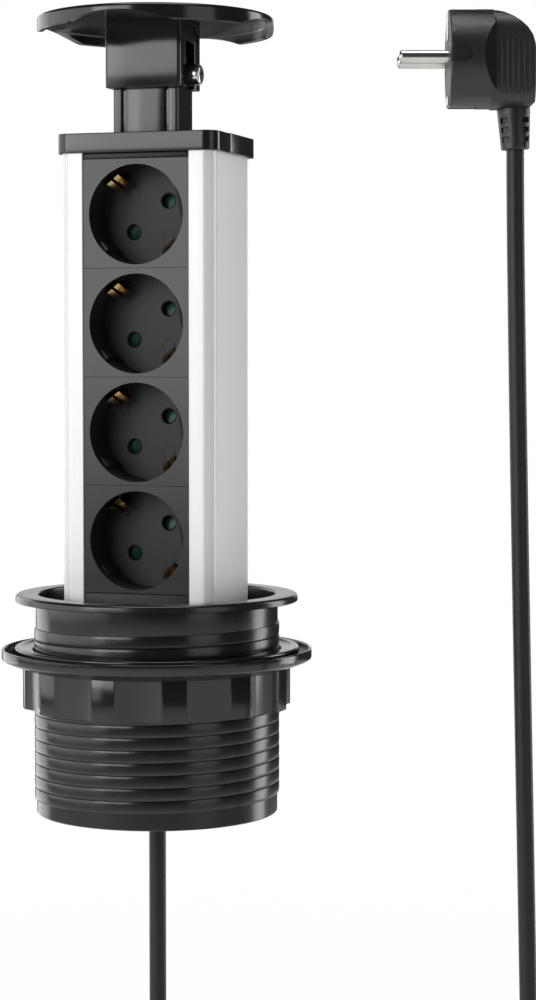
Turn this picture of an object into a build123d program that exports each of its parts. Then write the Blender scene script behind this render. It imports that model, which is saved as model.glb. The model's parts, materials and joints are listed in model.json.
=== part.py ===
from build123d import *
import math
import os

# Socket tower for a worktop hole. Millimetres, +Z up, the front of the tower faces -Y.
# The origin is on the tube's axis, in the plane where the flange rests on the worktop.
# The tower is drawn raised, which is how the photograph shows it.

os.makedirs("parts", exist_ok=True)

# Clearances: touching pieces that move, and pieces that only pass
RUN = 0.05
PASS = 0.3

# Socket modules: four at this pitch, with a blank strip above, give the column its height
PITCH = 42.5
MODULE_LOW = 4.55
TOP_BLANK = 2.35

# Tower profile: the round housing follows its size
PROF_W = 63.6
PROF_D = 47.5
PROF_R = 4.5
PROF_WALL = 1.6
PROF_LOW = -56.3
PROF_TOP = MODULE_LOW + 4 * PITCH + TOP_BLANK
LIP_T = 4.15
LIP_W = 9.75
BOSS_R = 3.0
BOSS_IN = 4.8
FRONT_W = PROF_W - 2 * LIP_W
FRONT_Y = -PROF_D / 2
LIP_Y = FRONT_Y + LIP_T
BACK_Y = PROF_D / 2
BOSS_X = PROF_W / 2 - BOSS_IN
BOSS_Y = PROF_D / 2 - BOSS_IN
LIP_SCREW_Y = FRONT_Y + 2.15
SCREW_R = 1.2
SCREW_HEAD_R = 2.4
SCREW_LEN = 14.0

# Round housing
BORE_GAP = 7.6
TUBE_WALL = 3.0
FLANGE_OUT = 8.0
FLANGE_T = 3.0
RECESS_STEP = 1.9
RECESS_Z = -4.2
BORE_R = math.hypot(PROF_W / 2 - PROF_R, PROF_D / 2 - PROF_R) + PROF_R + BORE_GAP
COLLAR_R = BORE_R + TUBE_WALL
FLANGE_R = COLLAR_R + FLANGE_OUT
RECESS_R = BORE_R + RECESS_STEP
CREST_R = COLLAR_R + 0.65
PLAIN_R = COLLAR_R - 0.2
THREAD_TOP = -10.0
THREAD_LOW = -76.7
TUBE_LOW = -84.7
WEB_TOP = -44.0
WEB_T = 3.0
WEB_LOW = WEB_TOP - WEB_T

# Guide in the housing, foot below
GUIDE_T = 9.0
GUIDE_LOW = WEB_LOW - GUIDE_T
GUIDE_R = BORE_R - 0.1
GUIDE_SCREW_IN = 10.5
GUIDE_SCREW_R = 1.5
PAD_GAP = 0.03
PAD_T = 3.17
PAD_H = 4.8
PAD_HALF = 6.0
POCKET_T = 3.0
POCKET_UP = 2.0
PAD_X = PROF_W / 2 + PAD_GAP + PAD_T
POCKET_X = PAD_X + POCKET_T
FOOT_OUT = 3.2
FOOT_T = 5.7
FOOT_W = PROF_W + 2 * FOOT_OUT
FOOT_D = PROF_D + 2 * FOOT_OUT
FOOT_LOW = PROF_LOW - FOOT_T

# Clamp nut and the ring in its cup
NUT_WALL = 2.1
SCALLOP_DEEP = 2.4
CUP_OUT = 8.4
CUP_WALL = 1.2
GRIP_R = CREST_R + RUN + NUT_WALL + SCALLOP_DEEP
CUP_R = GRIP_R + CUP_OUT
NUT_TOP = -18.9
NUT_LOW = -42.2
CUP_EDGE = NUT_TOP - 4.1
CUP_FLOOR = NUT_TOP - 3.3
GRIP_TOP = NUT_TOP - 7.3
LUGS = 12
SCALLOP_R = 26.0
SCALLOP_START = 12.2
RING_RISE = 0.8
RING_GAP = 3.9
RING_TOP = NUT_TOP + RING_RISE
RING_IN_R = CREST_R + 0.75
RING_OUT_R = CUP_R - CUP_WALL - RING_GAP

# Socket module: shoulders, well and floor
MODULE_H = PITCH - 0.1
WELL_UP = 20.8
MODULE_FRONT = FRONT_Y + 0.75
FACE_W = FRONT_W - 0.2
SHOULDER_X = PROF_W / 2 - PROF_WALL - 0.4
SHOULDER_FRONT = LIP_Y + 0.1
SHOULDER_BACK = SHOULDER_FRONT + 2.0
WELL_R = 19.5
WELL_WALL = 1.25
WELL_DEEP = 17.5
FLOOR_T = 2.5
FLOOR_FRONT = MODULE_FRONT + WELL_DEEP
FLOOR_BACK = FLOOR_FRONT + FLOOR_T
PIN_ANGLE = 40.0
PIN_PCD = 19.0
PIN_HOLE_R = 2.75
RIB_W = 4.0
RIB_H = 1.0
RIB_LONG = 14.5
POST_X = 19.6
POST_Z = 17.4
POST_R = 2.4
POST_HOLE_R = 1.0
HUB_R = 1.5
SHUTTER_R = 3.9
SHUTTER_T = 1.0
CLIP_W = 6.0
CLIP_T = 0.8
CLIP_SLOT = CLIP_W + 2 * PASS
CLIP_BACK = FLOOR_BACK + 3.2
CLIP_TOP_R = WELL_R + 0.9
NOSE_R = WELL_R - 4.6
NOSE_Y = FLOOR_FRONT - 4.4
CLIP_END = FLOOR_FRONT - 10.0
CARRIER_W = 44.0
CARRIER_H = 40.0
CARRIER_T = 3.0
CARRIER_FRONT = FLOOR_BACK + 5.2
CARRIER_BACK = CARRIER_FRONT + CARRIER_T
TUBE_OUT_R = 3.3
TUBE_IN_R = 2.5
BAR_T = 1.0
BAR_FRONT = FLOOR_BACK + 15.0
BAR_W = 6.0
EARTH_BAR_W = 4.0
BAR_BELOW = 14.0
BAR_ABOVE = 12.0
CARRIER_SCREW_IN = 6.0

# Cap, neck and lid
CAP_T = 7.7
CAP_OUT = 1.7
CAP_R = 6.0
LOBE_OUT = 2.4
LOBE_D = 33.0
CAP_TOP = PROF_TOP + CAP_T
NECK_W = 27.0
NECK_D = 18.3
NECK_IN = 20.75
NECK_Y = FRONT_Y + NECK_IN
NECK_H = 31.2
NECK_TOP = CAP_TOP + NECK_H
NECK_WALL = 2.6
NECK_FLOOR_UP = 5.4
NECK_FLOOR = CAP_TOP + NECK_FLOOR_UP
NECK_R = 1.2
NECK_GROOVE_X = 8.95
NECK_BASE_W = NECK_W + 4.0
NECK_BASE_D = NECK_D + 8.5
NECK_BASE_T = 2.2
BLOCK_W = NECK_W + 4.3
BLOCK_D = NECK_D + 6.6
BLOCK_UP = 18.3
BLOCK_LOW = CAP_TOP + BLOCK_UP
BLOCK_DEEP = 23.6
BLOCK_ROOF = BLOCK_LOW + BLOCK_DEEP
BLOCK_TOP = BLOCK_ROOF + 2.4
LID_R = RECESS_R - 0.5
LID_DROP = 1.7
LID_LOW = BLOCK_ROOF - LID_DROP
LID_TOP = BLOCK_TOP + 2.4
LID_RIM = 2.6
LID_RIM_IN = LID_R - LID_RIM
NOTCH_W = 44.0
NOTCH_H = 4.1
NOTCH_DEEP = 19.0
GUIDE_UP = 5.3
GUIDE_Z = BLOCK_LOW + GUIDE_UP
BUSH_R = 4.25
BUSH_HOLE_R = 2.0
SLOT_W = 2 * BUSH_R + 2.0
SLOT_RISE = 12.9
SLOT_TOP = GUIDE_Z + SLOT_RISE
BUSH_OUT = BLOCK_W / 2 + 2.35
HEAD_T = 2.35
HEAD_R = BUSH_R - 0.15
HEAD_OUT = BUSH_OUT + HEAD_T
SPRING_R = 4.6
WIRE_R = 0.5
SPRING_TURNS = 5

# Cord and plug: the photograph's picture plane is turned about Z from the tower's front
TURN = math.radians(17.6)
CORD_R = 3.4
GLAND_R = 8.0
GLAND_ACROSS = 10.5
GLAND_NUT_T = 2.3
GLAND_COLLAR = 4.0
CORE_R = 1.3
CORE_STEP = 2.4
CORE_RISE = 14.0
CORE_BEND = 14.0
CORE_BELOW = 16.0
CORE_JOIN = 8.0
RELIEF_LOW = -84.0
LEAD_LOW = -206.0
COIL_Z = -216.0
COIL_R = 45.0
COIL_STEP = 3.65
LAYER = 7.3
END_RUN = 10.0
TIE_W = 8.0
TIE_T = 1.2
PLUG_W = -43.0
PLUG_Z = 210.0
FACE_S = 112.9
FACE_T = 2.4
CORD_TOP_S = 138.6
CORD_TOP_Z = 176.0
LEAN_S = 148.0
PLUG_R = 18.75
DRUM_LEN = 17.2
GRIP_START = 12.6
REAR_HALF = 13.6
REAR_END = 32.1
REAR_HIGH = 37.4
REAR_ROUND = 9.0
PIN_R = 2.4
PIN_LEN = 19.0
PIN_ROOT_R = 1.9
PIN_ROOT = 10.4
EARTH_W = 8.0
EARTH_T = 1.8
EARTH_R = PLUG_R - 0.6
SIDE_SLOT_W = RIB_W + 1.2


def at(s, w, z):
    """A point from picture-plane lengths: s to the right, w away from the viewer, z up."""
    return Vector(s * math.cos(TURN) - w * math.sin(TURN), s * math.sin(TURN) + w * math.cos(TURN), z)


RIGHT = at(1, 0, 0)
AWAY = at(0, 1, 0)
UP = Vector(0, 0, 1)


def front(y):
    """The plane at this y, looking out of the tower's front."""
    return Plane.XZ.offset(-y)


def across(s):
    """The plane square to the plug's axis at this distance to the right."""
    return Plane(origin=at(s, PLUG_W, PLUG_Z), x_dir=AWAY, z_dir=RIGHT)


def spot(radius, degrees):
    """A flat point at this radius and angle."""
    return (radius * math.cos(math.radians(degrees)), radius * math.sin(math.radians(degrees)))


def hand_in(shape, label):
    """Name one piece and write it."""
    shape.label = label
    export_step(shape, "parts/" + label + ".step")


def rim(piece, radius):
    """The highest round edge of this radius."""
    found = piece.edges().filter_by(GeomType.CIRCLE).filter_by(lambda e: abs(e.radius - radius) < 0.01)
    return found.sort_by(Axis.Z)[-1]


GUIDE_SPOTS = [spot(BORE_R - GUIDE_SCREW_IN, a) for a in (65, 115, 245, 295)]

# Flange, collar and tube in one moulding, with the web that carries the guide
with BuildPart() as flange_tube:
    with BuildSketch(Plane.XZ):
        with BuildLine():
            Polyline(
                (RECESS_R, FLANGE_T), (FLANGE_R, FLANGE_T), (FLANGE_R, 0), (COLLAR_R, 0),
                (COLLAR_R, THREAD_TOP), (CREST_R, THREAD_TOP), (CREST_R, THREAD_LOW),
                (PLAIN_R, THREAD_LOW), (PLAIN_R, TUBE_LOW), (BORE_R, TUBE_LOW),
                (BORE_R, RECESS_Z), (RECESS_R, RECESS_Z), close=True,
            )
        make_face()
    revolve(axis=Axis.Z)
    fillet(rim(flange_tube, FLANGE_R), 1.4)
    fillet(rim(flange_tube, RECESS_R), 0.8)
    with BuildSketch(Plane.XY.offset(WEB_LOW)):
        Circle(BORE_R + TUBE_WALL / 6)
        RectangleRounded(PROF_W + 1, PROF_D + 1, PROF_R, mode=Mode.SUBTRACT)
    extrude(amount=WEB_T)
    with BuildSketch(Plane.XY.offset(WEB_LOW)):
        with Locations(*GUIDE_SPOTS):
            Circle(GUIDE_SCREW_R)
    extrude(amount=WEB_T - 1, mode=Mode.SUBTRACT)
hand_in(flange_tube.part, "flange_tube")

# Guide insert: the running fit of the profile, with a pocket for a brake pad on each side
with BuildPart() as guide_insert:
    with BuildSketch(Plane.XY.offset(GUIDE_LOW)):
        Circle(GUIDE_R)
        RectangleRounded(PROF_W + 2 * RUN, PROF_D + 2 * RUN, PROF_R + RUN, mode=Mode.SUBTRACT)
    extrude(amount=GUIDE_T)
    with BuildSketch(Plane.XY.offset(GUIDE_LOW + POCKET_UP)):
        Rectangle(2 * POCKET_X, 2 * PAD_HALF)
    extrude(amount=PAD_H + 0.2, mode=Mode.SUBTRACT)
    with BuildSketch(Plane.XY.offset(GUIDE_LOW)):
        with Locations(*GUIDE_SPOTS):
            Circle(GUIDE_SCREW_R)
    extrude(amount=GUIDE_T, mode=Mode.SUBTRACT)
hand_in(guide_insert.part, "guide_insert")

with BuildPart() as guide_screws:
    with BuildSketch(Plane.XY.offset(GUIDE_LOW - 2)):
        with Locations(*GUIDE_SPOTS):
            Circle(GUIDE_SCREW_R + 1.3)
    extrude(amount=2)
    with BuildSketch(Plane.XY.offset(GUIDE_LOW)):
        with Locations(*GUIDE_SPOTS):
            Circle(GUIDE_SCREW_R)
    extrude(amount=GUIDE_T + WEB_T - 1)
hand_in(guide_screws.part, "guide_screws")

with BuildPart() as brake_pads:
    pad_middle = PAD_X - PAD_T / 2
    with BuildSketch(Plane.XY.offset(GUIDE_LOW + POCKET_UP + 0.1)):
        with Locations((pad_middle, 0), (-pad_middle, 0)):
            Rectangle(PAD_T, 2 * PAD_HALF - 0.2)
    extrude(amount=PAD_H)
hand_in(brake_pads.part, "brake_pads")

with BuildPart() as brake_springs:
    leaf = PAD_HALF - 0.5
    with BuildSketch(Plane.XY.offset(GUIDE_LOW + POCKET_UP + 0.4)):
        with BuildLine():
            ThreePointArc((POCKET_X - 0.5, -leaf), (PAD_X, 0), (POCKET_X - 0.5, leaf))
            Line((POCKET_X - 0.5, leaf), (POCKET_X, leaf))
            ThreePointArc((POCKET_X, leaf), (PAD_X + 0.5, 0), (POCKET_X, -leaf))
            Line((POCKET_X, -leaf), (POCKET_X - 0.5, -leaf))
        make_face()
        mirror(about=Plane.YZ)
    extrude(amount=PAD_H - 0.6)
hand_in(brake_springs.part, "brake_springs")

# Pressure ring, dished a little to its inner edge
with BuildPart() as pressure_ring:
    with BuildSketch(Plane.XZ):
        with BuildLine():
            Polyline(
                (RING_IN_R, CUP_FLOOR + RUN), (RING_OUT_R, CUP_FLOOR + RUN), (RING_OUT_R, RING_TOP),
                (RING_OUT_R - 2.2, RING_TOP), (RING_OUT_R - 3.2, RING_TOP - 0.6),
                (RING_IN_R, RING_TOP - 0.9), close=True,
            )
        make_face()
    revolve(axis=Axis.Z)
    fillet(rim(pressure_ring, RING_OUT_R), 0.9)
hand_in(pressure_ring.part, "pressure_ring")

# Clamp nut: a cup for the ring above, a grip with scallops between its lugs below
with BuildPart() as clamp_nut:
    bore = CREST_R + RUN
    with BuildSketch(Plane.XZ):
        with BuildLine():
            Polyline(
                (bore, NUT_LOW), (GRIP_R, NUT_LOW), (GRIP_R, GRIP_TOP), (CUP_R, CUP_EDGE), (CUP_R, NUT_TOP),
                (CUP_R - CUP_WALL, NUT_TOP), (CUP_R - CUP_WALL, CUP_FLOOR), (bore, CUP_FLOOR), close=True,
            )
        make_face()
    revolve(axis=Axis.Z)
    fillet(rim(clamp_nut, CUP_R), 0.5)
    with BuildSketch(Plane.XY.offset(NUT_LOW)):
        with PolarLocations(GRIP_R - SCALLOP_DEEP + SCALLOP_R, LUGS, start_angle=SCALLOP_START):
            Circle(SCALLOP_R)
    extrude(amount=GRIP_TOP - NUT_LOW, mode=Mode.SUBTRACT)
hand_in(clamp_nut.part, "clamp_nut")

# Aluminium profile: a channel open at the front, with four screw places
with BuildPart() as tower_profile:
    with BuildSketch(Plane.XY.offset(PROF_LOW)):
        RectangleRounded(PROF_W, PROF_D, PROF_R)
        inner_d = BACK_Y - PROF_WALL - LIP_Y
        with Locations((0, LIP_Y + inner_d / 2)):
            Rectangle(PROF_W - 2 * PROF_WALL, inner_d, mode=Mode.SUBTRACT)
        with Locations((0, FRONT_Y)):
            Rectangle(FRONT_W, 4 * LIP_T, mode=Mode.SUBTRACT)
        with Locations((BOSS_X, BOSS_Y), (-BOSS_X, BOSS_Y)):
            Circle(BOSS_R)
        for side in (1, -1):
            with Locations((side * (PROF_W / 2 - PROF_WALL - 1), BOSS_Y)):
                Rectangle(BOSS_R + 0.4, BOSS_R + 1)
            with Locations((side * BOSS_X, BACK_Y - PROF_WALL - 1)):
                Rectangle(BOSS_R + 1, BOSS_R + 0.4)
    extrude(amount=PROF_TOP - PROF_LOW)
    screw_spots = [(BOSS_X, BOSS_Y), (-BOSS_X, BOSS_Y), (BOSS_X, LIP_SCREW_Y), (-BOSS_X, LIP_SCREW_Y)]
    with BuildSketch(Plane.XY.offset(PROF_LOW)):
        with Locations(*screw_spots):
            Circle(SCREW_R)
    extrude(amount=PROF_TOP - PROF_LOW, mode=Mode.SUBTRACT)
hand_in(tower_profile.part, "tower_profile")

# Top cap: rounded plan, a shallow groove down each side, wider behind it
with BuildPart() as top_cap:
    cap_x = PROF_W / 2 + CAP_OUT
    lobe_y = PROF_D / 2 + 1.25 - LOBE_D / 2
    plug_front = NECK_Y + NECK_BASE_D / 2 + PASS
    plug_back = BACK_Y - PROF_WALL - 1.25
    with BuildSketch(Plane.XY.offset(PROF_TOP)):
        RectangleRounded(2 * cap_x, PROF_D + 2.5, CAP_R)
        with Locations((0, lobe_y)):
            RectangleRounded(PROF_W + 2 * LOBE_OUT, LOBE_D, CAP_R)
        with Locations((cap_x + 0.4, lobe_y - LOBE_D / 2 - 0.6), (-cap_x - 0.4, lobe_y - LOBE_D / 2 - 0.6)):
            Circle(0.9, mode=Mode.SUBTRACT)
    extrude(amount=CAP_T)
    with BuildSketch(Plane.XY.offset(PROF_TOP)):
        with Locations((0, NECK_Y)):
            RectangleRounded(NECK_W, NECK_D, NECK_R)
    extrude(amount=CAP_T, mode=Mode.SUBTRACT)
    with BuildSketch(Plane.XY.offset(PROF_TOP)):
        with Locations((0, (plug_front + plug_back) / 2)):
            Rectangle(2 * (BOSS_X - BOSS_R - 2), plug_back - plug_front)
    extrude(amount=-5)
    chamfer(top_cap.faces().filter_by(Axis.Z).sort_by(Axis.Z)[-1].outer_wire().edges(), 0.7)
    with BuildSketch(Plane.XY.offset(PROF_TOP)):
        with Locations(*screw_spots):
            Circle(SCREW_R)
    extrude(amount=CAP_T, mode=Mode.SUBTRACT)
    with BuildSketch(Plane.XY.offset(CAP_TOP - 2)):
        with Locations(*screw_spots):
            Circle(SCREW_HEAD_R + 0.1)
    extrude(amount=3, mode=Mode.SUBTRACT)
    neck_spots = [(x, NECK_Y + y) for x in (-10.0, 10.0) for y in (-NECK_D / 2 - 2.05, NECK_D / 2 + 2.05)]
    with BuildSketch(Plane.XY.offset(PROF_TOP)):
        with Locations(*neck_spots):
            Circle(POST_HOLE_R)
    extrude(amount=4, mode=Mode.SUBTRACT)
hand_in(top_cap.part, "top_cap")

# The eight identical screws of cap and foot
with BuildPart() as profile_screws:
    for z, way in ((CAP_TOP - 2, 1), (FOOT_LOW + 2, -1)):
        with BuildSketch(Plane.XY.offset(z)):
            with Locations(*screw_spots):
                Circle(SCREW_HEAD_R)
        extrude(amount=1.8 * way)
        with BuildSketch(Plane.XY.offset(z)):
            with Locations(*screw_spots):
                Circle(SCREW_R)
        extrude(amount=-SCREW_LEN * way)
hand_in(profile_screws.part, "profile_screws")

# Neck: hollow, grooved front and back, with a flange under the cap
with BuildPart() as neck:
    groove_spots = [(x, y) for x in (NECK_GROOVE_X, -NECK_GROOVE_X) for y in (NECK_D / 2, -NECK_D / 2)]
    with BuildSketch(Plane.XY.offset(PROF_TOP)):
        with Locations((0, NECK_Y)):
            RectangleRounded(NECK_W, NECK_D, NECK_R)
            with Locations(*groove_spots):
                Rectangle(1.4, 2.0, mode=Mode.SUBTRACT)
    extrude(amount=NECK_TOP - PROF_TOP)
    with BuildSketch(Plane.XY.offset(PROF_TOP)):
        with Locations((0, NECK_Y)):
            Rectangle(NECK_BASE_W, NECK_BASE_D)
    extrude(amount=-NECK_BASE_T)
    with BuildSketch(Plane.XY.offset(NECK_FLOOR)):
        with Locations((0, NECK_Y)):
            Rectangle(NECK_W - 2 * NECK_WALL, NECK_D - 2 * NECK_WALL)
    extrude(amount=NECK_TOP - NECK_FLOOR, mode=Mode.SUBTRACT)
    with BuildSketch(Plane.XY.offset(PROF_TOP)):
        with Locations(*neck_spots):
            Circle(POST_HOLE_R)
    extrude(amount=-3, mode=Mode.SUBTRACT)
    with BuildSketch(Plane.YZ.offset(NECK_W / 2)):
        with Locations((NECK_Y, GUIDE_Z)):
            Circle(BUSH_HOLE_R)
    extrude(amount=-NECK_WALL, mode=Mode.SUBTRACT)
hand_in(neck.part, "neck")

with BuildPart() as neck_screws:
    with BuildSketch(Plane.XY.offset(PROF_TOP - NECK_BASE_T)):
        with Locations(*neck_spots):
            Circle(POST_HOLE_R + 0.8)
    extrude(amount=-1)
    with BuildSketch(Plane.XY.offset(PROF_TOP - NECK_BASE_T)):
        with Locations(*neck_spots):
            Circle(POST_HOLE_R)
    extrude(amount=NECK_BASE_T + 3.6)
hand_in(neck_screws.part, "neck_screws")

# Guide bush in the block's slot and the bright screw that holds it on the neck
with BuildPart() as guide_bush:
    with BuildSketch(Plane.YZ.offset(NECK_W / 2)):
        with Locations((NECK_Y, GUIDE_Z)):
            Circle(BUSH_R)
            Circle(BUSH_HOLE_R, mode=Mode.SUBTRACT)
    extrude(amount=BUSH_OUT - NECK_W / 2)
hand_in(guide_bush.part, "guide_bush")

with BuildPart() as guide_screw:
    with BuildSketch(Plane.YZ.offset(BUSH_OUT)):
        with Locations((NECK_Y, GUIDE_Z)):
            Circle(HEAD_R)
    extrude(amount=HEAD_T)
    fillet(guide_screw.faces().sort_by(Axis.X)[-1].edges(), 0.9)
    with BuildSketch(Plane.YZ.offset(BUSH_OUT)):
        with Locations((NECK_Y, GUIDE_Z)):
            Circle(BUSH_HOLE_R)
    extrude(amount=NECK_W / 2 - NECK_WALL - BUSH_OUT)
    with BuildSketch(Plane.YZ.offset(HEAD_OUT)):
        with Locations((NECK_Y, GUIDE_Z)):
            RegularPolygon(1.7, 6)
    extrude(amount=-1.4, mode=Mode.SUBTRACT)
hand_in(guide_screw.part, "guide_screw")

# Lid block: a sleeve over the neck with the slot for the bush
with BuildPart() as lid_block:
    with BuildSketch(Plane.XY.offset(BLOCK_LOW)):
        with Locations((0, NECK_Y)):
            RectangleRounded(BLOCK_W, BLOCK_D, 1.5)
    extrude(amount=BLOCK_TOP - BLOCK_LOW)
    with BuildSketch(Plane.XY.offset(BLOCK_LOW)):
        with Locations((0, NECK_Y)):
            RectangleRounded(NECK_W + 2 * RUN, NECK_D + 2 * RUN, NECK_R)
    extrude(amount=BLOCK_ROOF - BLOCK_LOW, mode=Mode.SUBTRACT)
    with BuildSketch(Plane.YZ.offset(BLOCK_W / 2)):
        with Locations((NECK_Y, (BLOCK_LOW + SLOT_TOP) / 2)):
            Rectangle(SLOT_W, SLOT_TOP - BLOCK_LOW)
    extrude(amount=-3, mode=Mode.SUBTRACT)
    lid_spots = [(x, NECK_Y + y) for x in (-9.5, 9.5) for y in (-5.2, 5.2)]
    with BuildSketch(Plane.XY.offset(BLOCK_ROOF)):
        with Locations(*lid_spots):
            Circle(SCREW_R)
    extrude(amount=BLOCK_TOP - BLOCK_ROOF, mode=Mode.SUBTRACT)
hand_in(lid_block.part, "lid_block")

# Lid: flat disc with a deep rim, hollow below, with a finger notch at each quarter
with BuildPart() as lid:
    with BuildSketch(Plane.XY.offset(LID_LOW)):
        Circle(LID_R)
    extrude(amount=LID_TOP - LID_LOW)
    fillet(lid.edges().sort_by(Axis.Z)[-1], 1.2)
    with BuildSketch(Plane.XY.offset(LID_LOW)):
        Circle(LID_RIM_IN)
    extrude(amount=BLOCK_TOP - LID_LOW, mode=Mode.SUBTRACT)
    notch_r = ((NOTCH_W / 2) ** 2 + NOTCH_H ** 2) / (2 * NOTCH_H)
    for quarter in (Plane.XZ, Plane.YZ):
        for way in (1, -1):
            with BuildSketch(quarter.offset(way * (LID_R + 1 - NOTCH_DEEP))):
                with Locations((0, LID_LOW + NOTCH_H - notch_r)):
                    Circle(notch_r)
            extrude(amount=way * NOTCH_DEEP, mode=Mode.SUBTRACT)
    with BuildSketch(Plane.XY.offset(BLOCK_TOP)):
        with Locations(*lid_spots):
            Circle(SCREW_R)
    extrude(amount=1.4, mode=Mode.SUBTRACT)
hand_in(lid.part, "lid")

with BuildPart() as lid_screws:
    with BuildSketch(Plane.XY.offset(BLOCK_ROOF)):
        with Locations(*lid_spots):
            Circle(SCREW_R + 0.8)
    extrude(amount=-1.4)
    with BuildSketch(Plane.XY.offset(BLOCK_ROOF)):
        with Locations(*lid_spots):
            Circle(SCREW_R)
    extrude(amount=BLOCK_TOP + 1.4 - BLOCK_ROOF)
hand_in(lid_screws.part, "lid_screws")

# Lid spring: closed ends seated on neck floor and block roof
with BuildPart() as lid_spring:
    spring_low = NECK_FLOOR + WIRE_R
    spring_long = BLOCK_ROOF - WIRE_R - spring_low
    with BuildLine():
        helix = Helix(
            spring_long / SPRING_TURNS, spring_long, SPRING_R, center=(0, NECK_Y, spring_low),
        )
    with BuildSketch(Plane(origin=helix @ 0, z_dir=helix % 0)):
        Circle(WIRE_R)
    sweep(path=helix)
hand_in(lid_spring.part, "lid_spring")

# Socket module: face plate, shoulders behind the profile's lips, round well, screw posts
PIN_SPOTS = [spot(PIN_PCD / 2, PIN_ANGLE), spot(PIN_PCD / 2, PIN_ANGLE + 180)]
POST_SPOTS = [(x, z) for x in (-POST_X, POST_X) for z in (-POST_Z, POST_Z)]
plate_z = MODULE_H / 2 - WELL_UP
with BuildPart() as socket:
    with BuildSketch(front(SHOULDER_FRONT)):
        with Locations((0, plate_z)):
            Rectangle(FACE_W, MODULE_H)
    extrude(amount=SHOULDER_FRONT - MODULE_FRONT)
    chamfer(socket.faces().sort_by(Axis.Y)[0].edges(), 0.25)
    with BuildSketch(front(SHOULDER_BACK)):
        with Locations((0, plate_z)):
            Rectangle(2 * SHOULDER_X, MODULE_H)
    extrude(amount=SHOULDER_BACK - SHOULDER_FRONT)
    with BuildSketch(front(FLOOR_BACK)):
        Circle(WELL_R + WELL_WALL)
    extrude(amount=FLOOR_BACK - SHOULDER_BACK)
    with BuildSketch(front(CARRIER_FRONT)):
        with Locations(*POST_SPOTS):
            Circle(POST_R)
    extrude(amount=CARRIER_FRONT - SHOULDER_BACK)
    with BuildSketch(front(FLOOR_FRONT)):
        Circle(WELL_R)
    extrude(amount=WELL_DEEP, mode=Mode.SUBTRACT)
    with BuildSketch(front(FLOOR_FRONT)):
        with PolarLocations(WELL_R - RIB_H / 2 + 0.2, 2, start_angle=PIN_ANGLE):
            Rectangle(RIB_H + 0.4, RIB_W)
    extrude(amount=RIB_LONG)
    with BuildSketch(front(FLOOR_BACK)):
        with PolarLocations(WELL_R + 0.9, 2, start_angle=PIN_ANGLE + 90):
            Rectangle(3.4, CLIP_SLOT)
    extrude(amount=FLOOR_BACK - SHOULDER_FRONT + PASS, mode=Mode.SUBTRACT)
    with BuildSketch(front(FLOOR_BACK)):
        with Locations(*PIN_SPOTS):
            Circle(PIN_HOLE_R)
    extrude(amount=FLOOR_T, mode=Mode.SUBTRACT)
    with BuildSketch(front(CLIP_BACK - CLIP_T)):
        Circle(HUB_R)
    extrude(amount=CLIP_BACK - CLIP_T - FLOOR_BACK)
    with BuildSketch(front(CARRIER_FRONT)):
        with Locations(*POST_SPOTS):
            Circle(POST_HOLE_R)
    extrude(amount=8, mode=Mode.SUBTRACT)

# Shutter: a two-wing disc on the spindle behind the floor
with BuildPart() as shutter:
    with BuildSketch(front(FLOOR_BACK + 0.1 + SHUTTER_T)):
        Circle(SHUTTER_R - PASS)
        with PolarLocations(PIN_PCD / 2, 2, start_angle=PIN_ANGLE):
            Circle(SHUTTER_R)
        with PolarLocations(PIN_PCD / 4, 2, start_angle=PIN_ANGLE):
            Rectangle(PIN_PCD / 2, SHUTTER_R + 0.5)
        Circle(HUB_R + RUN, mode=Mode.SUBTRACT)
    extrude(amount=SHUTTER_T)

# Earth stirrup: cross strip behind the shutter, an arm up each side, a tail to the earth bar
with BuildPart() as earth_clip:
    across_x, across_z = spot(1, PIN_ANGLE + 90)
    stirrup = Plane(origin=(0, 0, 0), x_dir=(across_x, 0, across_z), z_dir=(-across_z, 0, across_x))
    flip = 1 if stirrup.y_dir.Y > 0 else -1
    arm_in = CLIP_TOP_R - CLIP_T
    side = [
        (CLIP_TOP_R, CLIP_BACK), (CLIP_TOP_R, FLOOR_FRONT - 0.3), (NOSE_R + 1.1, NOSE_Y + 0.4),
        (NOSE_R + 1.1, NOSE_Y - 0.2), (WELL_R - 0.3, CLIP_END + 0.3), (WELL_R - 1.0, CLIP_END),
        (NOSE_R + 0.1, NOSE_Y - 0.6), (NOSE_R, NOSE_Y), (NOSE_R + 0.3, NOSE_Y + 0.9), (arm_in, FLOOR_FRONT),
        (arm_in, CLIP_BACK - CLIP_T), (0, CLIP_BACK - CLIP_T), (0, CLIP_BACK),
    ]
    with BuildSketch(stirrup.offset(-CLIP_W / 2)) as strip:
        with BuildLine():
            Polyline(*[(x, flip * y) for x, y in side], close=True)
        make_face()
        mirror(about=Plane.YZ)
    extrude(amount=CLIP_W)
    with BuildSketch(front(BAR_FRONT)):
        Rectangle(CLIP_W * 0.4, CLIP_W / 2)
    extrude(amount=BAR_FRONT - CLIP_BACK)

# Contact tubes behind the pin holes
with BuildPart() as contacts:
    with BuildSketch(front(BAR_FRONT)):
        with Locations(*PIN_SPOTS):
            Circle(TUBE_OUT_R)
            Circle(TUBE_IN_R, mode=Mode.SUBTRACT)
    extrude(amount=BAR_FRONT - FLOOR_BACK - SHUTTER_T - 0.8)

# Rear carrier that holds contacts and stirrup
with BuildPart() as carrier:
    with BuildSketch(front(CARRIER_BACK)):
        Rectangle(CARRIER_W, CARRIER_H)
        with Locations(*PIN_SPOTS):
            Circle(TUBE_OUT_R, mode=Mode.SUBTRACT)
        Rectangle(CLIP_W * 0.4, CLIP_W / 2, mode=Mode.SUBTRACT)
        with Locations(*POST_SPOTS):
            Circle(POST_HOLE_R, mode=Mode.SUBTRACT)
    extrude(amount=CARRIER_T)

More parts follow.
